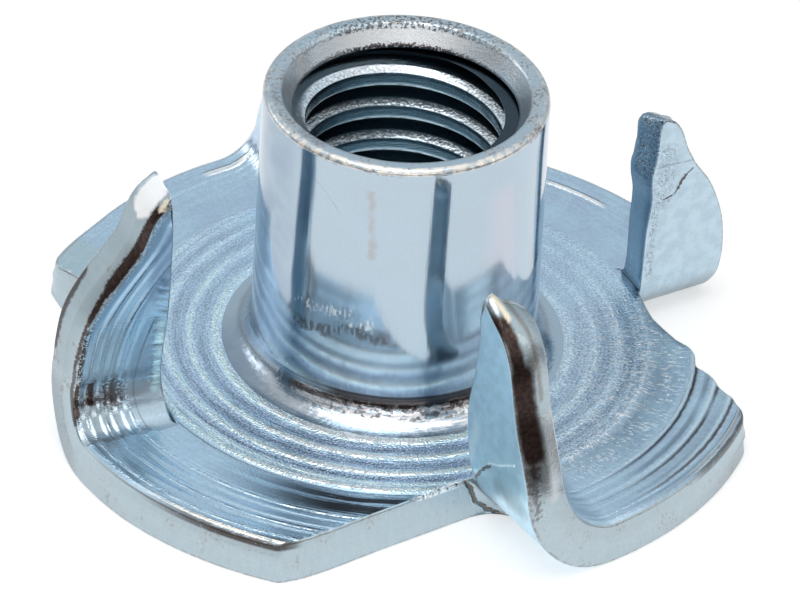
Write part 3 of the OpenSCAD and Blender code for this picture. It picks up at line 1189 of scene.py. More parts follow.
class PressedSkin(Skin):
    """The pressed face's patterns, and how strongly each part of it shows them."""

    def __init__(self, tree):
        super().__init__(tree)
        self.grain = self.noise(self.blank, 0.052, 0.0)
        self.coarse = self.noise(self.blank, 0.14, 2.0)
        self.drawn = self.noise(self.on_rings(1.4, 0.04), 1.0, 3.0)
        self.dashes = self.noise(self.on_rings(0.40, 0.07), 1.0, 2.0)
        self.struck = self.by_angle(*STRUCK)
        self.rubbed = self.by_angle(*RUBBED)
        self.bright = self.profile(self.ring, BRIGHT_RINGS)
        self.grained = self.ring.between(6.76, 6.5) * self.ring.between(4.36, 4.44)
        self.sharpness = self.grained * 0.85 + 0.15
        self.uneven_ring = self.ring + (self.coarse - 0.5) * 0.05
        _, self.left_q, self.on_left = self.by_prong(LEFT)


def ringed_zinc(skin):
    """The face's colour, shaded by the die's rings, its grain and what rubbed it, with painted light
    on its front left.
    """
    cloud = skin.noise(skin.blank, 1.1, 3.0)
    # painted light on the grained rings at the front left
    lit = skin.by_angle((-180, 0), (-165, 0.2), (-150, 1), (-125, 1), (-105, 0), (180, 0))
    colour = skin.layers(
        PRESSED_ZINC,
        (cloud.between(0.35, 0.65) * 0.6, CLOUDED_FACE),
        (skin.struck * 0.6, STRUCK_FACE),
        (lit * skin.grained * 0.55, LIT_FACE),
        (skin.on_left * 0.75, LEFT_FACE),
        (skin.bright.between(0.55, 0.1) * skin.struck * skin.grained * 0.7, BETWEEN_RINGS))
    shade = 1.05 + (skin.bright - 0.40) * skin.struck * (0.3 + skin.grained)
    shade = shade + (skin.drawn - 0.5) * (skin.struck * skin.sharpness * 2.0 + 0.15)
    shade = shade + (skin.grain - 0.5) * (skin.grained * (skin.struck * 0.2 + 0.6) + 0.2)
    shade = shade + (skin.coarse - 0.5) * 0.25
    shade = shade - skin.rubbed * (skin.profile(skin.ring, RUBBED_RINGS) * 0.32)
    return skin.darker(colour, shade.most(0.12))


def sparkle(skin):
    """Painted glints on the rings' crests, bright specks of the grain painted as sparkle, and short
    scratches across the rings painted white as glints.
    """
    glint = skin.bright.between(0.45, 0.95)
    glint = glint * (skin.dashes + (skin.grain - 0.5) * 0.5).between(0.44, 0.58)
    glint = glint * skin.struck * (skin.grained * 0.45 + 0.55)
    glint = glint * (1 - skin.on_left * skin.left_q.between(0.6, 1.6))
    specks = skin.grain.between(0.54, 0.62) * skin.coarse.between(0.35, 0.50) * skin.grained
    specks = specks * (skin.bright * 0.6 + 0.4) * (skin.struck * 0.9 + skin.rubbed * 0.35)
    scratches = skin.noise(skin.on_rings(0.06, 0.26), 1.0, 1.0)
    strokes = (scratches + (skin.coarse - 0.5) * 0.4).between(0.55, 0.61) * skin.rubbed
    strokes = strokes * skin.profile(skin.ring, SCRATCHED_RINGS)
    return glint, specks, strokes


def rim_grooves(skin, colour):
    """The thin groove round the grained part, and the dark lines and painted pale highlights of the
    grooves beyond.
    """
    ring = skin.uneven_ring
    worn = skin.noise(skin.on_rings(2.6, 3.0), 1.0, 2.0).between(0.30, 0.48)
    thin = ring.between(6.74, 6.77) * ring.between(6.81, 6.785) * skin.struck.between(0.3, 0.8)
    grooved = skin.by_angle(*GROOVED)
    return skin.layers(
        colour,
        (thin * 0.65, THIN_GROOVE),
        # pale lines painted on the grooves' crests as highlights
        (skin.profile(ring, CREST_HIGHLIGHTS) * grooved * 0.7, CREST_HIGHLIGHT),
        (skin.profile(ring, DARK_LINES) * worn * grooved, GROOVE_DIRT))


def dragged_oil(skin, colour):
    """Oil that the die dragged along, nearly black, and brown along the rolled rim, both oil and a
    painted dark reflection, with a painted golden glint beside it and two painted flashes of
    light. Returns the colour and the masks of the last two."""
    ring = skin.uneven_ring
    window = skin.by_angle(
        (-180, 0), (-162, 0.0), (-150, 0.25), (-140, 0.75), (-133, 1), (-121, 1), (-116, 0.8),
        (-110, 0), (180, 0))
    strayed = ring + (skin.drawn - 0.5) * 0.5
    dragged = strayed.between(6.85, 6.98) * strayed.between(7.72, 7.55) * window
    dragged = dragged * (1 - strayed.between(7.10, 7.17) * strayed.between(7.27, 7.22))
    rim_window = skin.by_angle(
        (-180, 0), (-164, 0), (-154, 0.8), (-148, 1), (-137, 1), (-134, 0), (-68, 0), (-64, 0.8),
        (-50, 0.8), (-44, 0), (180, 0))
    # brown along the rolled rim: oil, and a painted dark reflection
    rolled = ring.between(9.27, 9.31) * rim_window
    # a painted golden glint
    gold = ring.between(9.13, 9.16) * ring.between(9.29, 9.26) * rim_window
    gold = gold * skin.struck * skin.dashes.between(0.30, 0.42)
    # two painted flashes of light
    right_arc = skin.angle.between(15, 19) * skin.angle.between(31, 27) * ring.between(8.44, 8.52)
    back_arc = skin.angle.between(81, 84) * skin.angle.between(96, 93) * ring.between(8.64, 8.72)
    flash = right_arc * ring.between(8.70, 8.62) + back_arc * ring.between(8.92, 8.86)
    colour = skin.layers(
        colour,
        (dragged * 0.95, BLACK_OIL),
        (rolled * (skin.dashes.between(0.3, 0.45) * 0.4 + 0.55), BROWN),
        (gold, GOLD_GLINT),
        (flash * skin.dashes.between(0.30, 0.45), FLASH))
    return colour, gold, flash


def left_grooves(skin, colour):
    """The left prong's grooves, with dark lines and blue films in them, its shaded slit edge and grey
    bend, and the flange's pale corner past its tip."""
    q, on_left, ring = skin.left_q, skin.on_left, skin.uneven_ring
    furrows = skin.profile(ring + (skin.grain - 0.5) * 0.06, LEFT_FURROWS) * q.between(5.4, 4.9)
    furrows = furrows * (1 - skin.ring.between(7.7, 7.6) * q.between(2.6, 2.9))
    films = skin.profile(ring, LEFT_FILMS)
    shaded = skin.on_prong(LEFT, [(6.85, 5.4), (6.9, 4.4), (7.0, 3.7)], 0.9, 0.15, 0.3, 0.6)
    pale = skin.on_prong(LEFT, [(6.6, 6.0), (7.4, 6.8)], 2.6, 0.1, 0.5, 0.5) * (1 - on_left)
    return skin.layers(
        colour,
        (furrows * (skin.dashes.between(0.35, 0.5) * 0.35 + 0.65) * on_left, BLACK_OIL),
        (films * on_left * q.between(2.0, 3.0) * 0.65, GROOVE_FILM),
        (shaded * on_left * 0.6, SHADED_SLIT),
        (on_left * q.between(3.6, 2.2) * ring.between(8.0, 8.4) * 0.8, GREY_GROOVES),
        (on_left * q.between(2.0, 2.6) * ring.between(9.05, 9.15) * 0.75, BLUE_GROOVES),
        (on_left * q.between(2.8, 1.4) * 0.6, GREY_BEND),
        (pale * 0.7, PALE_CORNER))


def left_oil(skin, colour):
    """Oil along the left prong's rim, partly a painted dark reflection, and pooled at its foot, a
    painted highlight along its slit edge, and wrinkles whose light and shade are painted. Returns
    the colour, the highlight's mask and the wrinkles."""
    q, on_left = skin.left_q, skin.on_left
    ragged = skin.uneven_ring + (skin.grain - 0.5) * 0.06
    # oil along the rim, partly a painted dark reflection
    oil = ragged.between(9.17, 9.22) * q.between(-0.9, -0.5) * (q.between(3.0, 2.6) * 0.5 + 0.5)
    oil = oil * (skin.grain + skin.dashes).between(0.85, 1.08)
    pools = greatest(
        skin.on_prong(LEFT, [(9.1, 1.0), (9.15, -0.3)], 0.34, 0.06),
        skin.on_prong(LEFT, [(8.64, 0.95), (8.68, 0.1)], 0.24, 0.05),
        skin.on_prong(LEFT, [(8.05, 0.7), (8.1, 0.0)], 0.6, 0.6, 0.09) * 0.8)
    slit = [(6.84, 2.6), (6.80, 1.6), (6.80, 0.9), (6.93, 0.1)]
    # a painted highlight along the slit edge
    slit_highlight = skin.on_prong(LEFT, slit, 0.42, 0.08, 0.1, 0.9) * on_left
    wrinkled = skin.on_prong(LEFT, [(6.8, 3.9), (6.85, 0.4)], 0.75, 0.1, 0.3, 0.8) * on_left
    wrinkles = skin.noise(skin.on_rings(0.1, 0.7), 1.0, 2.0)
    colour = skin.layers(
        colour,
        (oil * on_left * 0.93, BLACK_OIL),
        (pools * on_left * 0.93, BROWN),
        (slit_highlight * 0.95, SLIT_HIGHLIGHT))
    # the wrinkles' light and shade, painted into the colour
    colour = skin.darker(colour, 1 + (wrinkles - 0.52) * wrinkled * 2.2)
    return colour, slit_highlight, wrinkles * wrinkled


def pressed_face(tree):
    """The flange's upper face and the prongs' faces that were cut from it: rings from the die, with
    a coarse grain whose sparkle is painted, and grooves nearer the rim."""
    skin = PressedSkin(tree)
    struck, grained, on_left = skin.struck, skin.grained, skin.on_left
    glint, specks, strokes = sparkle(skin)
    colour = ringed_zinc(skin)
    # white painted for the glints, the grain's sparkle and the glinting scratches
    colour = skin.layers(colour, (greatest(glint, specks, strokes).least(1), HIGHLIGHT_WHITE))
    colour = rim_grooves(skin, colour)
    colour, gold, flash = dragged_oil(skin, colour)
    colour = left_grooves(skin, colour)
    colour, slit_highlight, wrinkles = left_oil(skin, colour)

    dull = skin.on_prong(LEFT, [(7.85, 0.4), (7.0, 0.1)], 1.2, 0.3, 0.5, 1.0)
    _, front_q, on_front = skin.by_prong(FRONT)
    roughness = 0.22 + grained * 0.08 + specks * 0.15 + dull * 0.18
    roughness = roughness + on_left * skin.left_q.between(2.5, 3.5) * 0.2
    roughness = roughness + on_front * front_q.between(3.0, 1.0) * 0.2
    rings = skin.bright * 0.6 + skin.drawn * (0.15 + grained * 0.25)
    normal = skin.bump(
        (rings * (struck * 0.8 + 0.2) * (1 - on_left * 0.8), 0.028),
        (skin.grain * skin.sharpness * (struck * 0.5 + 0.3), 0.026),
        (strokes + glint + gold + flash + wrinkles, 0.03))
    matt = greatest(strokes * 0.1, specks * struck * 0.15, slit_highlight * 0.45)
    return skin.metal(colour, roughness, normal, matt)


# ---------------------------------------------------------------- underside

SATIN_ZINC = (0.50, 0.63, 0.72, 1)      # the sheet's own surface, which no tool touched
CLOUDED_SATIN = (0.46, 0.60, 0.72, 1)
FRONT_SATIN = (0.56, 0.80, 0.93, 1)
TEAL_FILM = (0.33, 0.52, 0.62, 1)
# painted shade
HOLLOW_SHADE = (0.12, 0.16, 0.18, 1)
RENT = (0.10, 0.075, 0.06, 1)
# painted highlight
LIP_HIGHLIGHT = (0.72, 0.93, 1.0, 1)
PALE_FOOT = (0.75, 0.93, 1.0, 1)
DARK_BEND = (0.12, 0.16, 0.17, 1)
CRACK = (0.12, 0.11, 0.105, 1)


def torn_seam(skin):
    """The tear that runs down the flange's cut edge to the foot of the front prong."""
    s, q, _ = skin.by_prong(FRONT)
    place = skin.tree.node("ShaderNodeCombineXYZ", None, {"X": s, "Y": q, "Z": skin.height})
    down = [
        (6.04, 2.2, 1.10), (6.08, 1.81, 1.06), (6.13, 1.66, 0.85), (6.20, 1.57, 0.47),
        (6.31, 1.29, 0.18), (6.47, 1.04, 0.07), (6.70, 0.88, 0.02)]
    along = [(6.04, 3.8, 0.85), (6.04, 3.4, 1.05), (6.04, 2.2, 1.08)]
    seam = skin.line(place, down, 0.16, 0.07, 0.12, 0.7)
    return seam.most(skin.line(place, along, 0.09, 0.07, 0.12) * 0.7)


def front_bend(skin, colour):
    """The front prong's bend, with a film, painted shade in a hollow, a pale foot, and a rent with a
    painted highlight on its lip. Returns the colour and the masks of the last two."""
    teal = skin.on_prong(FRONT, [(6.6, 2.0), (8.4, 2.6)], 0.9, 0.1, 0.4, 0.5)
    # painted shade in a hollow of the bend
    hollow = skin.on_prong(FRONT, [(7.8, 2.25), (8.7, 2.2)], 0.8, 0.2, 0.3, 1.0)
    rent = skin.on_prong(FRONT, [(6.5, 1.75), (6.85, 2.1), (7.2, 2.46), (7.42, 2.6)], 0.08, 0.07)
    # a painted highlight on the rent's lip
    lip = skin.on_prong(FRONT, [(7.3, 2.62), (7.8, 2.86), (8.35, 3.22)], 0.10, 0.05, 0.1, 1.0)
    pale = skin.on_prong(FRONT, [(6.60, 2.4), (6.70, 3.3)], 0.5, 0.15, 0.3, 1.0)
    colour = skin.layers(
        colour,
        (teal * 0.5, TEAL_FILM),
        (hollow * 0.5, HOLLOW_SHADE),
        (rent * 0.85, RENT),
        (lip * 0.8, LIP_HIGHLIGHT),
        (pale * 0.8, PALE_FOOT))
    return colour, rent, lip


def right_cracks(skin, grit):
    """The crack, a fainter one and the pits that bending left in the right prong's face."""
    crack = greatest(
        skin.on_prong(RIGHT, [(8.0, 4.6), (7.8, 4.45)], 0.05, 0.05, 0.1),
        skin.on_prong(RIGHT, [(7.8, 4.45), (7.7, 4.3), (7.62, 4.08)], 0.11, 0.10, 0.1),
        skin.on_prong(RIGHT, [(7.62, 4.08), (7.52, 3.9), (7.2, 3.83)], 0.05, 0.05, 0.1))
    faint = skin.on_prong(RIGHT, [(6.9, 4.93), (7.38, 4.93), (8.0, 4.88)], 0.05, 0.06, 0.1)
    pitted = greatest(
        skin.on_prong(RIGHT, [(7.15, 5.3), (7.1, 3.8)], 1.0, 0.2, 0.3, 0.9),
        skin.on_prong(RIGHT, [(6.98, 4.0), (7.0, 1.4)], 0.35, 0.1, 0.2, 0.9))
    dots = skin.noise(skin.blank, 0.035, 1.0)
    return crack, faint, pitted * (dots + (grit - 0.5) * 0.5).between(0.55, 0.66)


def underside(tree):
    """The blank's lower face: satin, with the film of the passivation. Bending cracked the right
    prong's face and tore the front one's foot."""
    skin = Skin(tree)
    fine = skin.noise(skin.blank, 0.06, 2.0)
    grit = skin.noise(skin.blank, 0.1, 1.0)
    cloud = skin.noise(skin.blank, 0.8, 3.0)
    mottle = skin.noise(skin.blank, (0.35, 0.35, 0.9), 3.0)
    on_front = skin.by_prong(FRONT)[2]
    colour = skin.layers(
        SATIN_ZINC, (cloud.between(0.3, 0.7) * 0.4, CLOUDED_SATIN), (on_front * 0.9, FRONT_SATIN))
    shade = 0.86 + fine * 0.16 - (grit - 0.5) * 0.1 + mottle.between(0.35, 0.65) * 0.12
    colour = skin.darker(colour, shade)
    colour, rent, lip = front_bend(skin, colour)

    _, q, on_right = skin.by_prong(RIGHT)
    crack, faint, pits = right_cracks(skin, grit)
    colour = skin.layers(
        colour,
        (on_right * q.between(1.1, 0.5) * 0.6, DARK_BEND),
        (greatest(crack, pits * 0.6, faint * 0.45) * on_right, CRACK),
        (torn_seam(skin) * 0.85, TORN))
    cuts = greatest(crack, pits * 0.5, rent)
    normal = skin.bump((fine, 0.003), (cloud, 0.02), (1 - cuts, 0.03), (lip, 0.02))
    return skin.metal(colour, 0.26 + cloud * 0.1, normal)


# ---------------------------------------------------------------- cut edge

CUT_ZINC = (0.455, 0.56, 0.615, 1)
CLOUDED_CUT = (0.48, 0.54, 0.58, 1)
FAINT_DIRT = (0.22, 0.19, 0.17, 1)
EDGE_DIRT = (0.20, 0.17, 0.15, 1)
# oil along the rims, partly a painted dark reflection, thick and thin
EDGE_OIL_AND_REFLECTION = (0.05, 0.037, 0.036, 1)
THIN_OIL_AND_REFLECTION = (0.080, 0.057, 0.050, 1)
# painted reflection line on the front prong's rim
OLIVE_REFLECTION = (0.20, 0.155, 0.11, 1)
# painted pale reflection on the front prong's rim
PALE_REFLECTION = (0.66, 0.72, 0.76, 1)
WARM_GLEAM = (1.0, 0.90, 0.72, 1)
# painted highlights at the left prong's tip, white and golden
WHITE_TIP_HIGHLIGHT = (0.98, 0.99, 1.0, 1)
GOLDEN_HIGHLIGHT = (1.0, 0.92, 0.76, 1)
SLIT_FILM = (0.20, 0.32, 0.42, 1)
# painted shadow
CREASE_SHADOW = (0.13, 0.18, 0.22, 1)
TORN_DARK = (0.12, 0.10, 0.10, 1)
TORN_BRIGHT = (0.85, 0.93, 1.0, 1)


class EdgeSkin(Skin):
    """The cut edges' patterns, and the part of the edges that is the blank's rim."""

    def __init__(self, tree):
        super().__init__(tree)
        self.fine = self.noise(self.blank, 0.06, 2.0)
        self.grit = self.noise(self.blank, 0.11, 2.0)
        self.cloud = self.noise(self.blank, 0.7, 3.0)
        self.on_rim = self.ring.between(8.85, 9.05)

    def strip(self, number, spots, *edge):
        """A line along a prong's rim, its points given by q and height in the sheet."""
        _, q, on_it = self.by_prong(number)
        place = self.tree.node("ShaderNodeCombineXYZ", None, {"X": q, "Y": self.height})
        return self.line(place, spots, *edge) * self.on_rim * on_it


def edge_oil_and_reflection(skin):
    """Oil along the front and left prongs' rims and the flange's, partly a painted dark reflection,
    and a painted shadow line along the left prong's lower edge.
    """
    top = [(6.25, 1.0), (5.7, 0.98), (5.18, 0.93), (4.62, 0.91), (3.98, 0.93)]
    low = [(3.75, 0.0), (3.2, 0.05), (2.5, 0.05), (1.5, 0.0)]
    window = skin.by_angle(
        (-180, 0), (-164, 0), (-154, 0.8), (-148, 1), (-137, 1), (-135, 0), (-68, 0), (-64, 0.7),
        (-50, 0.9), (-44, 0.2), (180, 0))
    flange = skin.height.between(0.86, 0.93) * window * skin.on_rim
    return greatest(
        # the front prong's dark band: oil and a painted dark reflection
        skin.strip(FRONT, [(6.5, 0.12), (6.2, 0.20), (5.4, 0.24)], 0.56, 0.05, 0.2, 0.6),
        skin.strip(FRONT, [(5.4, 0.26), (4.5, 0.30), (3.6, 0.34)], 0.80, 0.06, 0.25, 0.5),
        skin.strip(FRONT, [(3.6, 0.30), (3.1, 0.26)], 0.66, 0.25, 0.15, 1.0) * 0.9,
        skin.strip(FRONT, [(3.1, 0.24), (2.3, 0.20)], 0.4, 0.4, 0.1, 1.0) * 0.6,
        # the left prong's dark line by its rolled edge: oil and a painted dark reflection
        skin.strip(LEFT, top, 0.40, 0.08, 0.06, 0.4),
        skin.strip(LEFT, [(3.98, 0.93), (3.51, 0.97), (3.07, 1.02)], 0.28, 0.10, 0.1, 0.6),
        skin.strip(LEFT, [(3.07, 1.0), (2.42, 1.02), (1.58, 0.97)], 0.16, 0.10, 0.09, 0.6) * 0.9,
        skin.strip(LEFT, [(1.58, 0.97), (0.66, 0.98), (-0.6, 1.02)], 0.18, 0.06, 0.09, 0.6) * 0.8,
        # a painted shadow line along the left prong's lower edge
        skin.strip(LEFT, low, 0.36, 0.07, 0.1) * 0.85,
        flange * (skin.grit.between(0.3, 0.45) * 0.3 + 0.6))


def torn_slit(skin, colour):
    """The right prong's slit edge, with a blue film, painted shadow in the crease at its foot, and torn
    towards its tip. Returns the colour and the torn part's mask."""
    fine, grit = skin.fine, skin.grit
    s, q, on_right = skin.by_prong(RIGHT)
    slit = s.between(7.05, 6.95) * q.between(0.1, 0.3) * on_right
    torn = slit * q.between(3.6, 5.2) * skin.height.between(1.0, 0.7)
    # painted shadow in the crease at the prong's foot
    crease = skin.on_prong(RIGHT, [(6.7, -0.1), (6.75, 0.9)], 0.6, 0.1, 0.2, 0.6)
    colour = skin.layers(
        colour,
        (slit * 0.9, SLIT_FILM),
        (crease * 0.7, CREASE_SHADOW),
        (torn * (grit + (fine - 0.5) * 0.5).between(0.50, 0.60) * 0.8, TORN_DARK),
        (torn * (fine + (grit - 0.5) * 0.4).between(0.60, 0.66) * 0.7, TORN_BRIGHT))
    return colour, torn


def cut_edge(tree):
    """The sheet's cut edges: pale, scored through the sheet, with oil left along some of them that is
    partly a painted dark reflection, and painted reflections and highlights on the prongs' rims.
    """
    skin = EdgeSkin(tree)
    fine, grit, cloud = skin.fine, skin.grit, skin.cloud
    scored = skin.noise(skin.blank, (0.09, 0.09, 0.8), 2.0)
    # oil along the rims, partly a painted dark reflection, and a painted shadow line
    oil = edge_oil_and_reflection(skin)
    # a painted reflection line along the front prong's rim
    olive_reflection_line = [(6.85, 0.50), (6.27, 0.70), (5.63, 0.74), (4.71, 0.76)]
    # a painted pale reflection along the front prong's rim
    pale_reflection_line = [(4.2, 1.0), (3.6, 0.92), (3.1, 0.80), (2.5, 0.70)]
    # a painted gleam at the front prong's tip
    gleam = skin.strip(FRONT, [(6.95, 0.22), (6.6, 0.34)], 0.26, 0.05, 0.1, 0.8)
    # painted highlights at the left prong's tip, white and golden
    tip_highlight = skin.strip(LEFT, [(6.45, 0.45), (6.05, 0.5)], 0.75, 0.08, 0.2, 0.3)
    gold_highlight = skin.strip(LEFT, [(6.42, 0.92), (6.28, 0.98)], 0.22, 0.08, 0.08, 0.7)
    satin = skin.strip(LEFT, [(6.2, 0.45), (1.5, 0.45)], 1.3, 0.0, 0.1, 0.5)
    colour = skin.layers(CUT_ZINC, (cloud.between(0.3, 0.7) * 0.5, CLOUDED_CUT))
    colour = skin.darker(colour, 0.86 + fine * 0.14 + scored * 0.14)
    colour = skin.layers(
        colour,
        (cloud.between(0.56, 0.66) * grit.between(0.5, 0.62) * 0.35, FAINT_DIRT),
        (skin.height.between(0.09, 0.03) * grit.between(0.4, 0.55) * 0.45, EDGE_DIRT),
        (oil.least(1), skin.mix(grit.between(0.4, 0.6), EDGE_OIL_AND_REFLECTION, THIN_OIL_AND_REFLECTION)),
        (skin.strip(FRONT, olive_reflection_line, 0.26, 0.05, 0.2, 1.0) * 0.6, OLIVE_REFLECTION),
        (skin.strip(FRONT, pale_reflection_line, 0.55, 0.0, 0.1, 0.8) * (1 - oil) * 0.8, PALE_REFLECTION),
        (gleam, WARM_GLEAM),
        (tip_highlight, WHITE_TIP_HIGHLIGHT),
        (gold_highlight, GOLDEN_HIGHLIGHT))
    colour, torn = torn_slit(skin, colour)

    seam = torn_seam(skin)
    s, q, _ = skin.by_prong(FRONT)
    # a painted highlight on the burr at the front prong's notch
    burr_glint = s.between(6.5, 6.4) * q.between(1.8, 1.9) * q.between(3.4, 3.0)
    burr_glint = burr_glint * skin.height.between(0.96, 1.0)
    colour = skin.layers(colour, (seam * 0.85, TORN), (burr_glint * grit.between(0.4, 0.5), HIGHLIGHT_WHITE))
    normal = skin.bump((fine * 0.6 + scored * 0.4, 0.006), (1 - seam.most(torn * grit), 0.03))
    roughness = 0.24 + fine * 0.1 + tip_highlight * 0.25 - gleam * 0.08 + satin * 0.2
    return skin.metal(colour, roughness, normal, gold_highlight * 0.5)


# ---------------------------------------------------------------- countersink

MOUTH_ZINC = (0.52, 0.64, 0.73, 1)
GREY_MOUTH = (0.56, 0.63, 0.68, 1)
TOOL_MARK = (0.10, 0.07, 0.06, 1)
STAIN = (0.24, 0.17, 0.13, 1)


def countersink(tree):
    """The mouth's bevel and the rim: satin, with a brown stain, dark tool marks by the lip, and a
    painted gleam along the rim's far side.
    """
    skin = Skin(tree)
    fine = skin.noise(skin.place, 0.05, 2.0)
    grit = skin.noise(skin.place, 0.09, 3.0)
    cloud = skin.noise(skin.place, 0.7, 2.0)
    x, y, z = (tree.axis(skin.place, name) for name in "XYZ")
    angle = y.maths("ARCTAN2", x) * (180 / math.pi)
    far = skin.profile(angle, [
        (-180, 0), (0, 0), (20, 0.5), (40, 1), (85, 1), (100, 0.5), (115, 0.2), (180, 0)])

    low = z.between(LIP_Z + 0.22, LIP_Z + 0.02)
    high = z.between(HEIGHT - 0.16, HEIGHT - 0.10)
    marks = far * (low + (grit - 0.5) * 1.4 + (fine - 0.5) * 1.8).between(0.70, 0.95)
    marks = marks.most(far * high * (grit + fine * 0.3).between(0.66, 0.72) * 0.8)
    stain = skin.line(skin.place, [(-1.38, 2.69, 8.45), (-2.05, 1.58, 8.35)], 0.95, 0.35, 0.35, 1.0)
    left = [(-2.9, 1.7, 8.6), (-3.3, 0.2, 8.6), (-3.1, -1.2, 8.6)]
    stain = stain.most(skin.line(skin.place, left, 0.40, 0.25, 0.25, 1.0)) * grit.between(0.3, 0.6)
    specks = z.between(HEIGHT - 0.12, HEIGHT - 0.04)
    specks = specks * (grit + (cloud - 0.5) * 0.5).between(0.60, 0.70)
    # a painted gleam along the rim's far side
    gleam = far * z.between(HEIGHT - 0.08, HEIGHT - 0.16) * (1 - marks)

    colour = skin.mix(cloud.between(0.35, 0.65), MOUTH_ZINC, GREY_MOUTH)
    colour = skin.layers(colour, (marks * 0.9, TOOL_MARK), (stain.most(specks) * 0.6, STAIN))
    colour = skin.darker(colour, 0.86 + fine * 0.28)
    colour = skin.layers(colour, (gleam * 0.8, HIGHLIGHT_WHITE))
    normal = skin.bump((grit * 0.5 + fine * 0.5, 0.012), (marks, 0.02))
    return skin.metal(colour, 0.26 + cloud * 0.1 + gleam * 0.22, normal)


# ---------------------------------------------------------------- bore

CREST_ZINC = (0.44, 0.63, 0.74, 1)
# the upward flanks, painted lighter
LIT_FLANK = (0.60, 0.67, 0.72, 1)
# painted shade in the thread: its roots, under the lip and past its last turn
ROOT_SHADE = (0.07, 0.10, 0.12, 1)
UNDER_LIP_SHADE = (0.06, 0.085, 0.105, 1)
LAST_TURN_SHADE = (0.03, 0.045, 0.06, 1)
# painted highlight on the crests' lower edges
CREST_EDGE_GLINT = (0.80, 0.88, 0.92, 1)


def bore(tree):
    """The tapped bore, with painted shade in the thread's roots, under the lip and past the thread's
    last turn, its upward flanks painted lighter, and painted glints on its crests' lower edges.
    """
    skin = Skin(tree)
    fine = skin.noise(skin.place, (0.3, 0.3, 0.04), 3.0)
    torn = skin.noise(skin.place, (0.07, 0.07, 0.10), 2.0)
    cloud = skin.noise(skin.place, 1.2, 1.0)
    x, y, z = (tree.axis(skin.place, name) for name in "XYZ")
    turn = y.maths("ARCTAN2", x) * (1 / (2 * math.pi))
    phase = (z / PITCH - turn - THREAD_SIZES["Start"]).maths("FRACT")

    below_end = z.between(LIP_Z - 0.12, LIP_Z - 0.16)
    flank = phase.between(0.665, 0.685) * phase.between(0.82, 0.79) * below_end
    # painted shade in the thread's roots
    root = phase.between(0.79, 0.82).most(phase.between(0.315, 0.305)) * below_end
    # a painted highlight on the crests' lower edges
    burr_glint = phase.between(0.318, 0.326) * phase.between(0.352, 0.344)
    burr_glint = burr_glint * fine.between(0.3, 0.5) * below_end
    # painted shade under the lip
    shade_under_lip = z.between(LIP_Z - 0.62, LIP_Z - 0.42) * (1 - flank)
    shade_under_lip = shade_under_lip.most(z.between(LIP_Z - 0.34, LIP_Z - 0.26))

    # the upward flanks painted lighter, as if lit from above
    colour = skin.mix(flank, CREST_ZINC, LIT_FLANK)
    colour = skin.layers(colour, (root * 0.85, ROOT_SHADE), (shade_under_lip * 0.85, UNDER_LIP_SHADE))
    shade = 0.6 + fine * 0.4 + cloud * 0.3 + flank * (torn - 0.40) * 1.7
    colour = skin.darker(colour, shade)
    # painted shade past the thread's last turn
    colour = skin.layers(colour, ((1 - below_end) * 0.8, LAST_TURN_SHADE), (burr_glint * 0.8, CREST_EDGE_GLINT))
    normal = skin.bump((fine, 0.006), (burr_glint, 0.04), (torn * flank, 0.012))
    return skin.metal(colour, 0.2 + flank * 0.06, normal)


FINISH_NODES = {
    "pressed_face": pressed_face, "underside": underside, "cut_edge": cut_edge,
    "drawn_barrel": drawn_barrel, "countersink": countersink, "bore": bore,
}


# ================================================================ camera and studio

VIEW_AZIMUTH = -33
VIEW_ELEVATION = 36.34
VIEW_ROLL = 3.35
VIEW_DISTANCE = 142.85
VIEW_LENS = 248.06
AIM_RIGHT, AIM_UP = 0.24, 1.78
VIEW_SENSOR = 36
VIEW_CLIP = (0.01, 5)       # metres


def turned(azimuth, elevation):
    """Unit vector towards a place in the studio: azimuth 0 is in front of the nut, at -Y."""
    a, e = math.radians(azimuth), math.radians(elevation)
    return Vector((math.sin(a) * math.cos(e), -math.cos(a) * math.cos(e), math.sin(e)))


def add_camera():
    """The camera, a long way off and rolled slightly, aimed a little above the frame's origin."""
    data = bpy.data.cameras.new("camera")
    data.lens = VIEW_LENS
    data.sensor_width = VIEW_SENSOR
    data.clip_start, data.clip_end = VIEW_CLIP
    camera = link("camera", data)
    back = turned(VIEW_AZIMUTH, VIEW_ELEVATION)
    right = Vector((0, 0, 1)).cross(back).normalized()
    up = back.cross(right)
    roll = math.radians(VIEW_ROLL)
    tilted_right = math.cos(roll) * right + math.sin(roll) * up
    tilted_up = -math.sin(roll) * right + math.cos(roll) * up
    place = back * VIEW_DISTANCE
    aim = AIM_RIGHT * tilted_right + AIM_UP * tilted_up
    z = (place - aim).normalized()
    x = tilted_up.cross(z).normalized()
    axes = Matrix((x, z.cross(x), z)).transposed()
    camera.matrix_world = Matrix.Translation(place * MM) @ axes.to_4x4()
    bpy.context.scene.camera = camera


FLOOR_RADIUS = 90.0
FLOOR_CORNERS = 96
FLOOR_COLOUR = (0.8, 0.8, 0.8, 1)
FLOOR_GLOW = 0.5            # where it is seen directly or reflected
SKY_COLOUR = (0.38, 0.38, 0.38, 1)      # what lights the nut beside the lamps
DOME_RADIUS = 600.0
CARD_STEP = 6               # degrees between a card's corners
# What the metal sees of the studio beyond the floor: azimuths, elevations and colour.
CARDS = {
    "dark_horizon": ((-122, 62), (-4, 13), (0.085, 0.058, 0.048)),
    "grey_horizon": ((62, 238), (-4, 13), (0.40, 0.43, 0.45)),
    "front_gap": ((-125, 45), (13, 22), (0.10, 0.075, 0.065)),
    "front_wall_left": ((-125, -66), (31, 52), (0.34, 0.36, 0.38)),
    "front_wall_top": ((-66, 0), (41, 52), (0.34, 0.36, 0.38)),
    "front_strip": ((-66, 0), (31, 41), (1.2, 1.2, 1.2)),
    "front_wall_right": ((0, 60), (31, 52), (0.34, 0.36, 0.38)),
    "back_wall": ((88, 206), (13, 54), (0.60, 0.67, 0.72)),
}
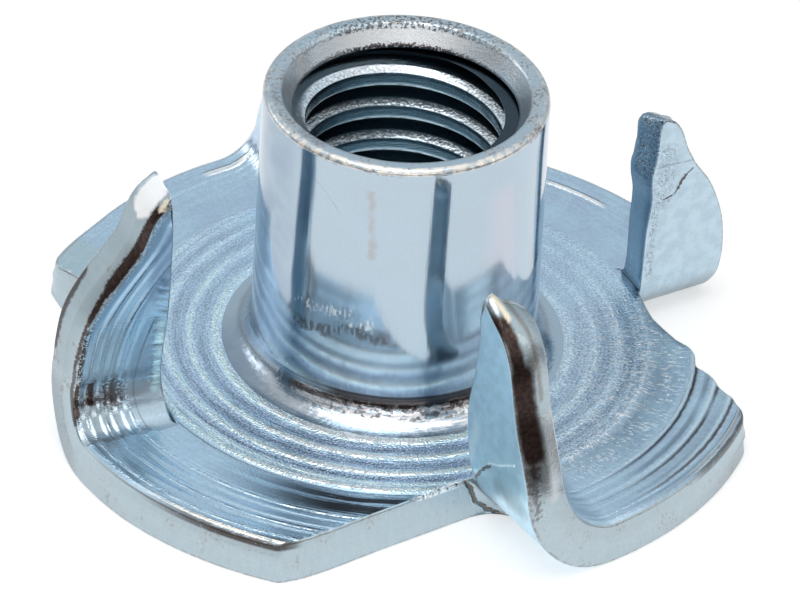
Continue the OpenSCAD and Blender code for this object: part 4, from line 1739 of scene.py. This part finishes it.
# Lamps: azimuth and elevation, distance, width and height, brightness, colour.
LAMPS = {
    "front_softbox": (-33, 27, 320, (260, 34), 2.6, (1.0, 0.96, 0.95)),
    "right_softbox": (38, 41, 320, (90, 80), 2.2, (1.0, 0.94, 0.84)),
    "left_softbox": (-148, 22, 320, (110, 80), 1.7, (1.0, 1.0, 1.0)),
    "top_softbox": (-60, 76, 340, (220, 220), 2.3, (0.97, 0.99, 1.0)),
}


def softbox(name, azimuth, elevation, distance, size, brightness, colour):
    data = bpy.data.lights.new(name, "AREA")
    data.shape = "RECTANGLE"
    data.size, data.size_y = size[0] * MM, size[1] * MM
    data.color = colour
    data.energy = brightness * math.pi * data.size * data.size_y
    lamp = link(name, data)
    towards = turned(azimuth, elevation)
    across = Vector((0, 0, 1)).cross(towards).normalized()
    axes = Matrix((across, towards.cross(across), towards)).transposed()
    lamp.matrix_world = Matrix.Translation(towards * distance * MM) @ axes.to_4x4()


def seen_directly(tree):
    """1 for what the camera sees itself, in a mirror or through glass."""
    rays = [tree.node("ShaderNodeLightPath", output=f"Is {kind} Ray")
            for kind in ("Camera", "Glossy", "Transmission")]
    return (rays[0] + rays[1] + rays[2]).least(1)


def add_card(name, azimuths, elevations, colour):
    """A patch of the dome round the nut, which only the metal sees."""
    columns = max(2, round((azimuths[1] - azimuths[0]) / CARD_STEP))
    rows = max(1, round((elevations[1] - elevations[0]) / CARD_STEP))
    corners = [
        turned(azimuth, elevation) * DOME_RADIUS * MM
        for elevation in np.linspace(*elevations, rows + 1)
        for azimuth in np.linspace(*azimuths, columns + 1)]
    faces = []
    for row in range(rows):
        for column in range(columns):
            first = row * (columns + 1) + column
            faces.append((first, first + columns + 1, first + columns + 2, first + 1))
    mesh = bpy.data.meshes.new(name)
    mesh.from_pydata(corners, [], faces)
    card = link(name, mesh)

    def build(tree):
        return tree.node("ShaderNodeEmission", None, {"Color": (*colour, 1), "Strength": 1.0})

    mesh.materials.append(material(name, build))
    card.visible_camera = card.visible_diffuse = card.visible_shadow = False


def add_floor():
    """A pale disc under the nut, which takes its shadow."""
    bm = bmesh.new()
    bmesh.ops.create_circle(
        bm, cap_ends=True, segments=FLOOR_CORNERS, radius=FLOOR_RADIUS * MM)
    mesh = bpy.data.meshes.new("floor")
    bm.to_mesh(mesh)
    bm.free()
    floor = link("floor", mesh)

    def build(tree):
        glow = seen_directly(tree) * FLOOR_GLOW
        diffuse = tree.node("ShaderNodeBsdfDiffuse", None, {"Color": FLOOR_COLOUR})
        glow = tree.node("ShaderNodeEmission", None, {"Color": (1, 1, 1, 1), "Strength": glow})
        return tree.node("ShaderNodeAddShader", None, [diffuse, glow])

    mesh.materials.append(material("floor", build))


def add_world():
    """Grey light from all round, which looks white where it is seen."""
    world = bpy.data.worlds.new("studio")
    bpy.context.scene.world = world
    world.use_nodes = True
    tree = Tree(world.node_tree.nodes, world.node_tree.links)
    world.node_tree.nodes.clear()
    sky = tree.node("ShaderNodeBackground", None, {"Color": SKY_COLOUR, "Strength": 1.0})
    white = tree.node("ShaderNodeBackground", None, {"Color": (1, 1, 1, 1), "Strength": 1.0})
    both = tree.node("ShaderNodeMixShader", None, [seen_directly(tree), sky, white])
    tree.node("ShaderNodeOutputWorld", None, {"Surface": both})


def dress(piece):
    """Hangs a piece under the root body, where it stands for the nut's own node, which is hidden."""
    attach(piece, "root")
    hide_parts("tee_nut")


add_camera()
body = make_body()
for name in FINISHES:
    body.data.materials.append(material(name, FINISH_NODES[name]))
dress(body)
dress(make_thread(material("threaded_bore", bore)))

add_floor()
for name, card in CARDS.items():
    add_card(name, *card)
add_world()
for name, lamp in LAMPS.items():
    softbox(name, *lamp)

bpy.context.scene.view_settings.view_transform = "Standard"
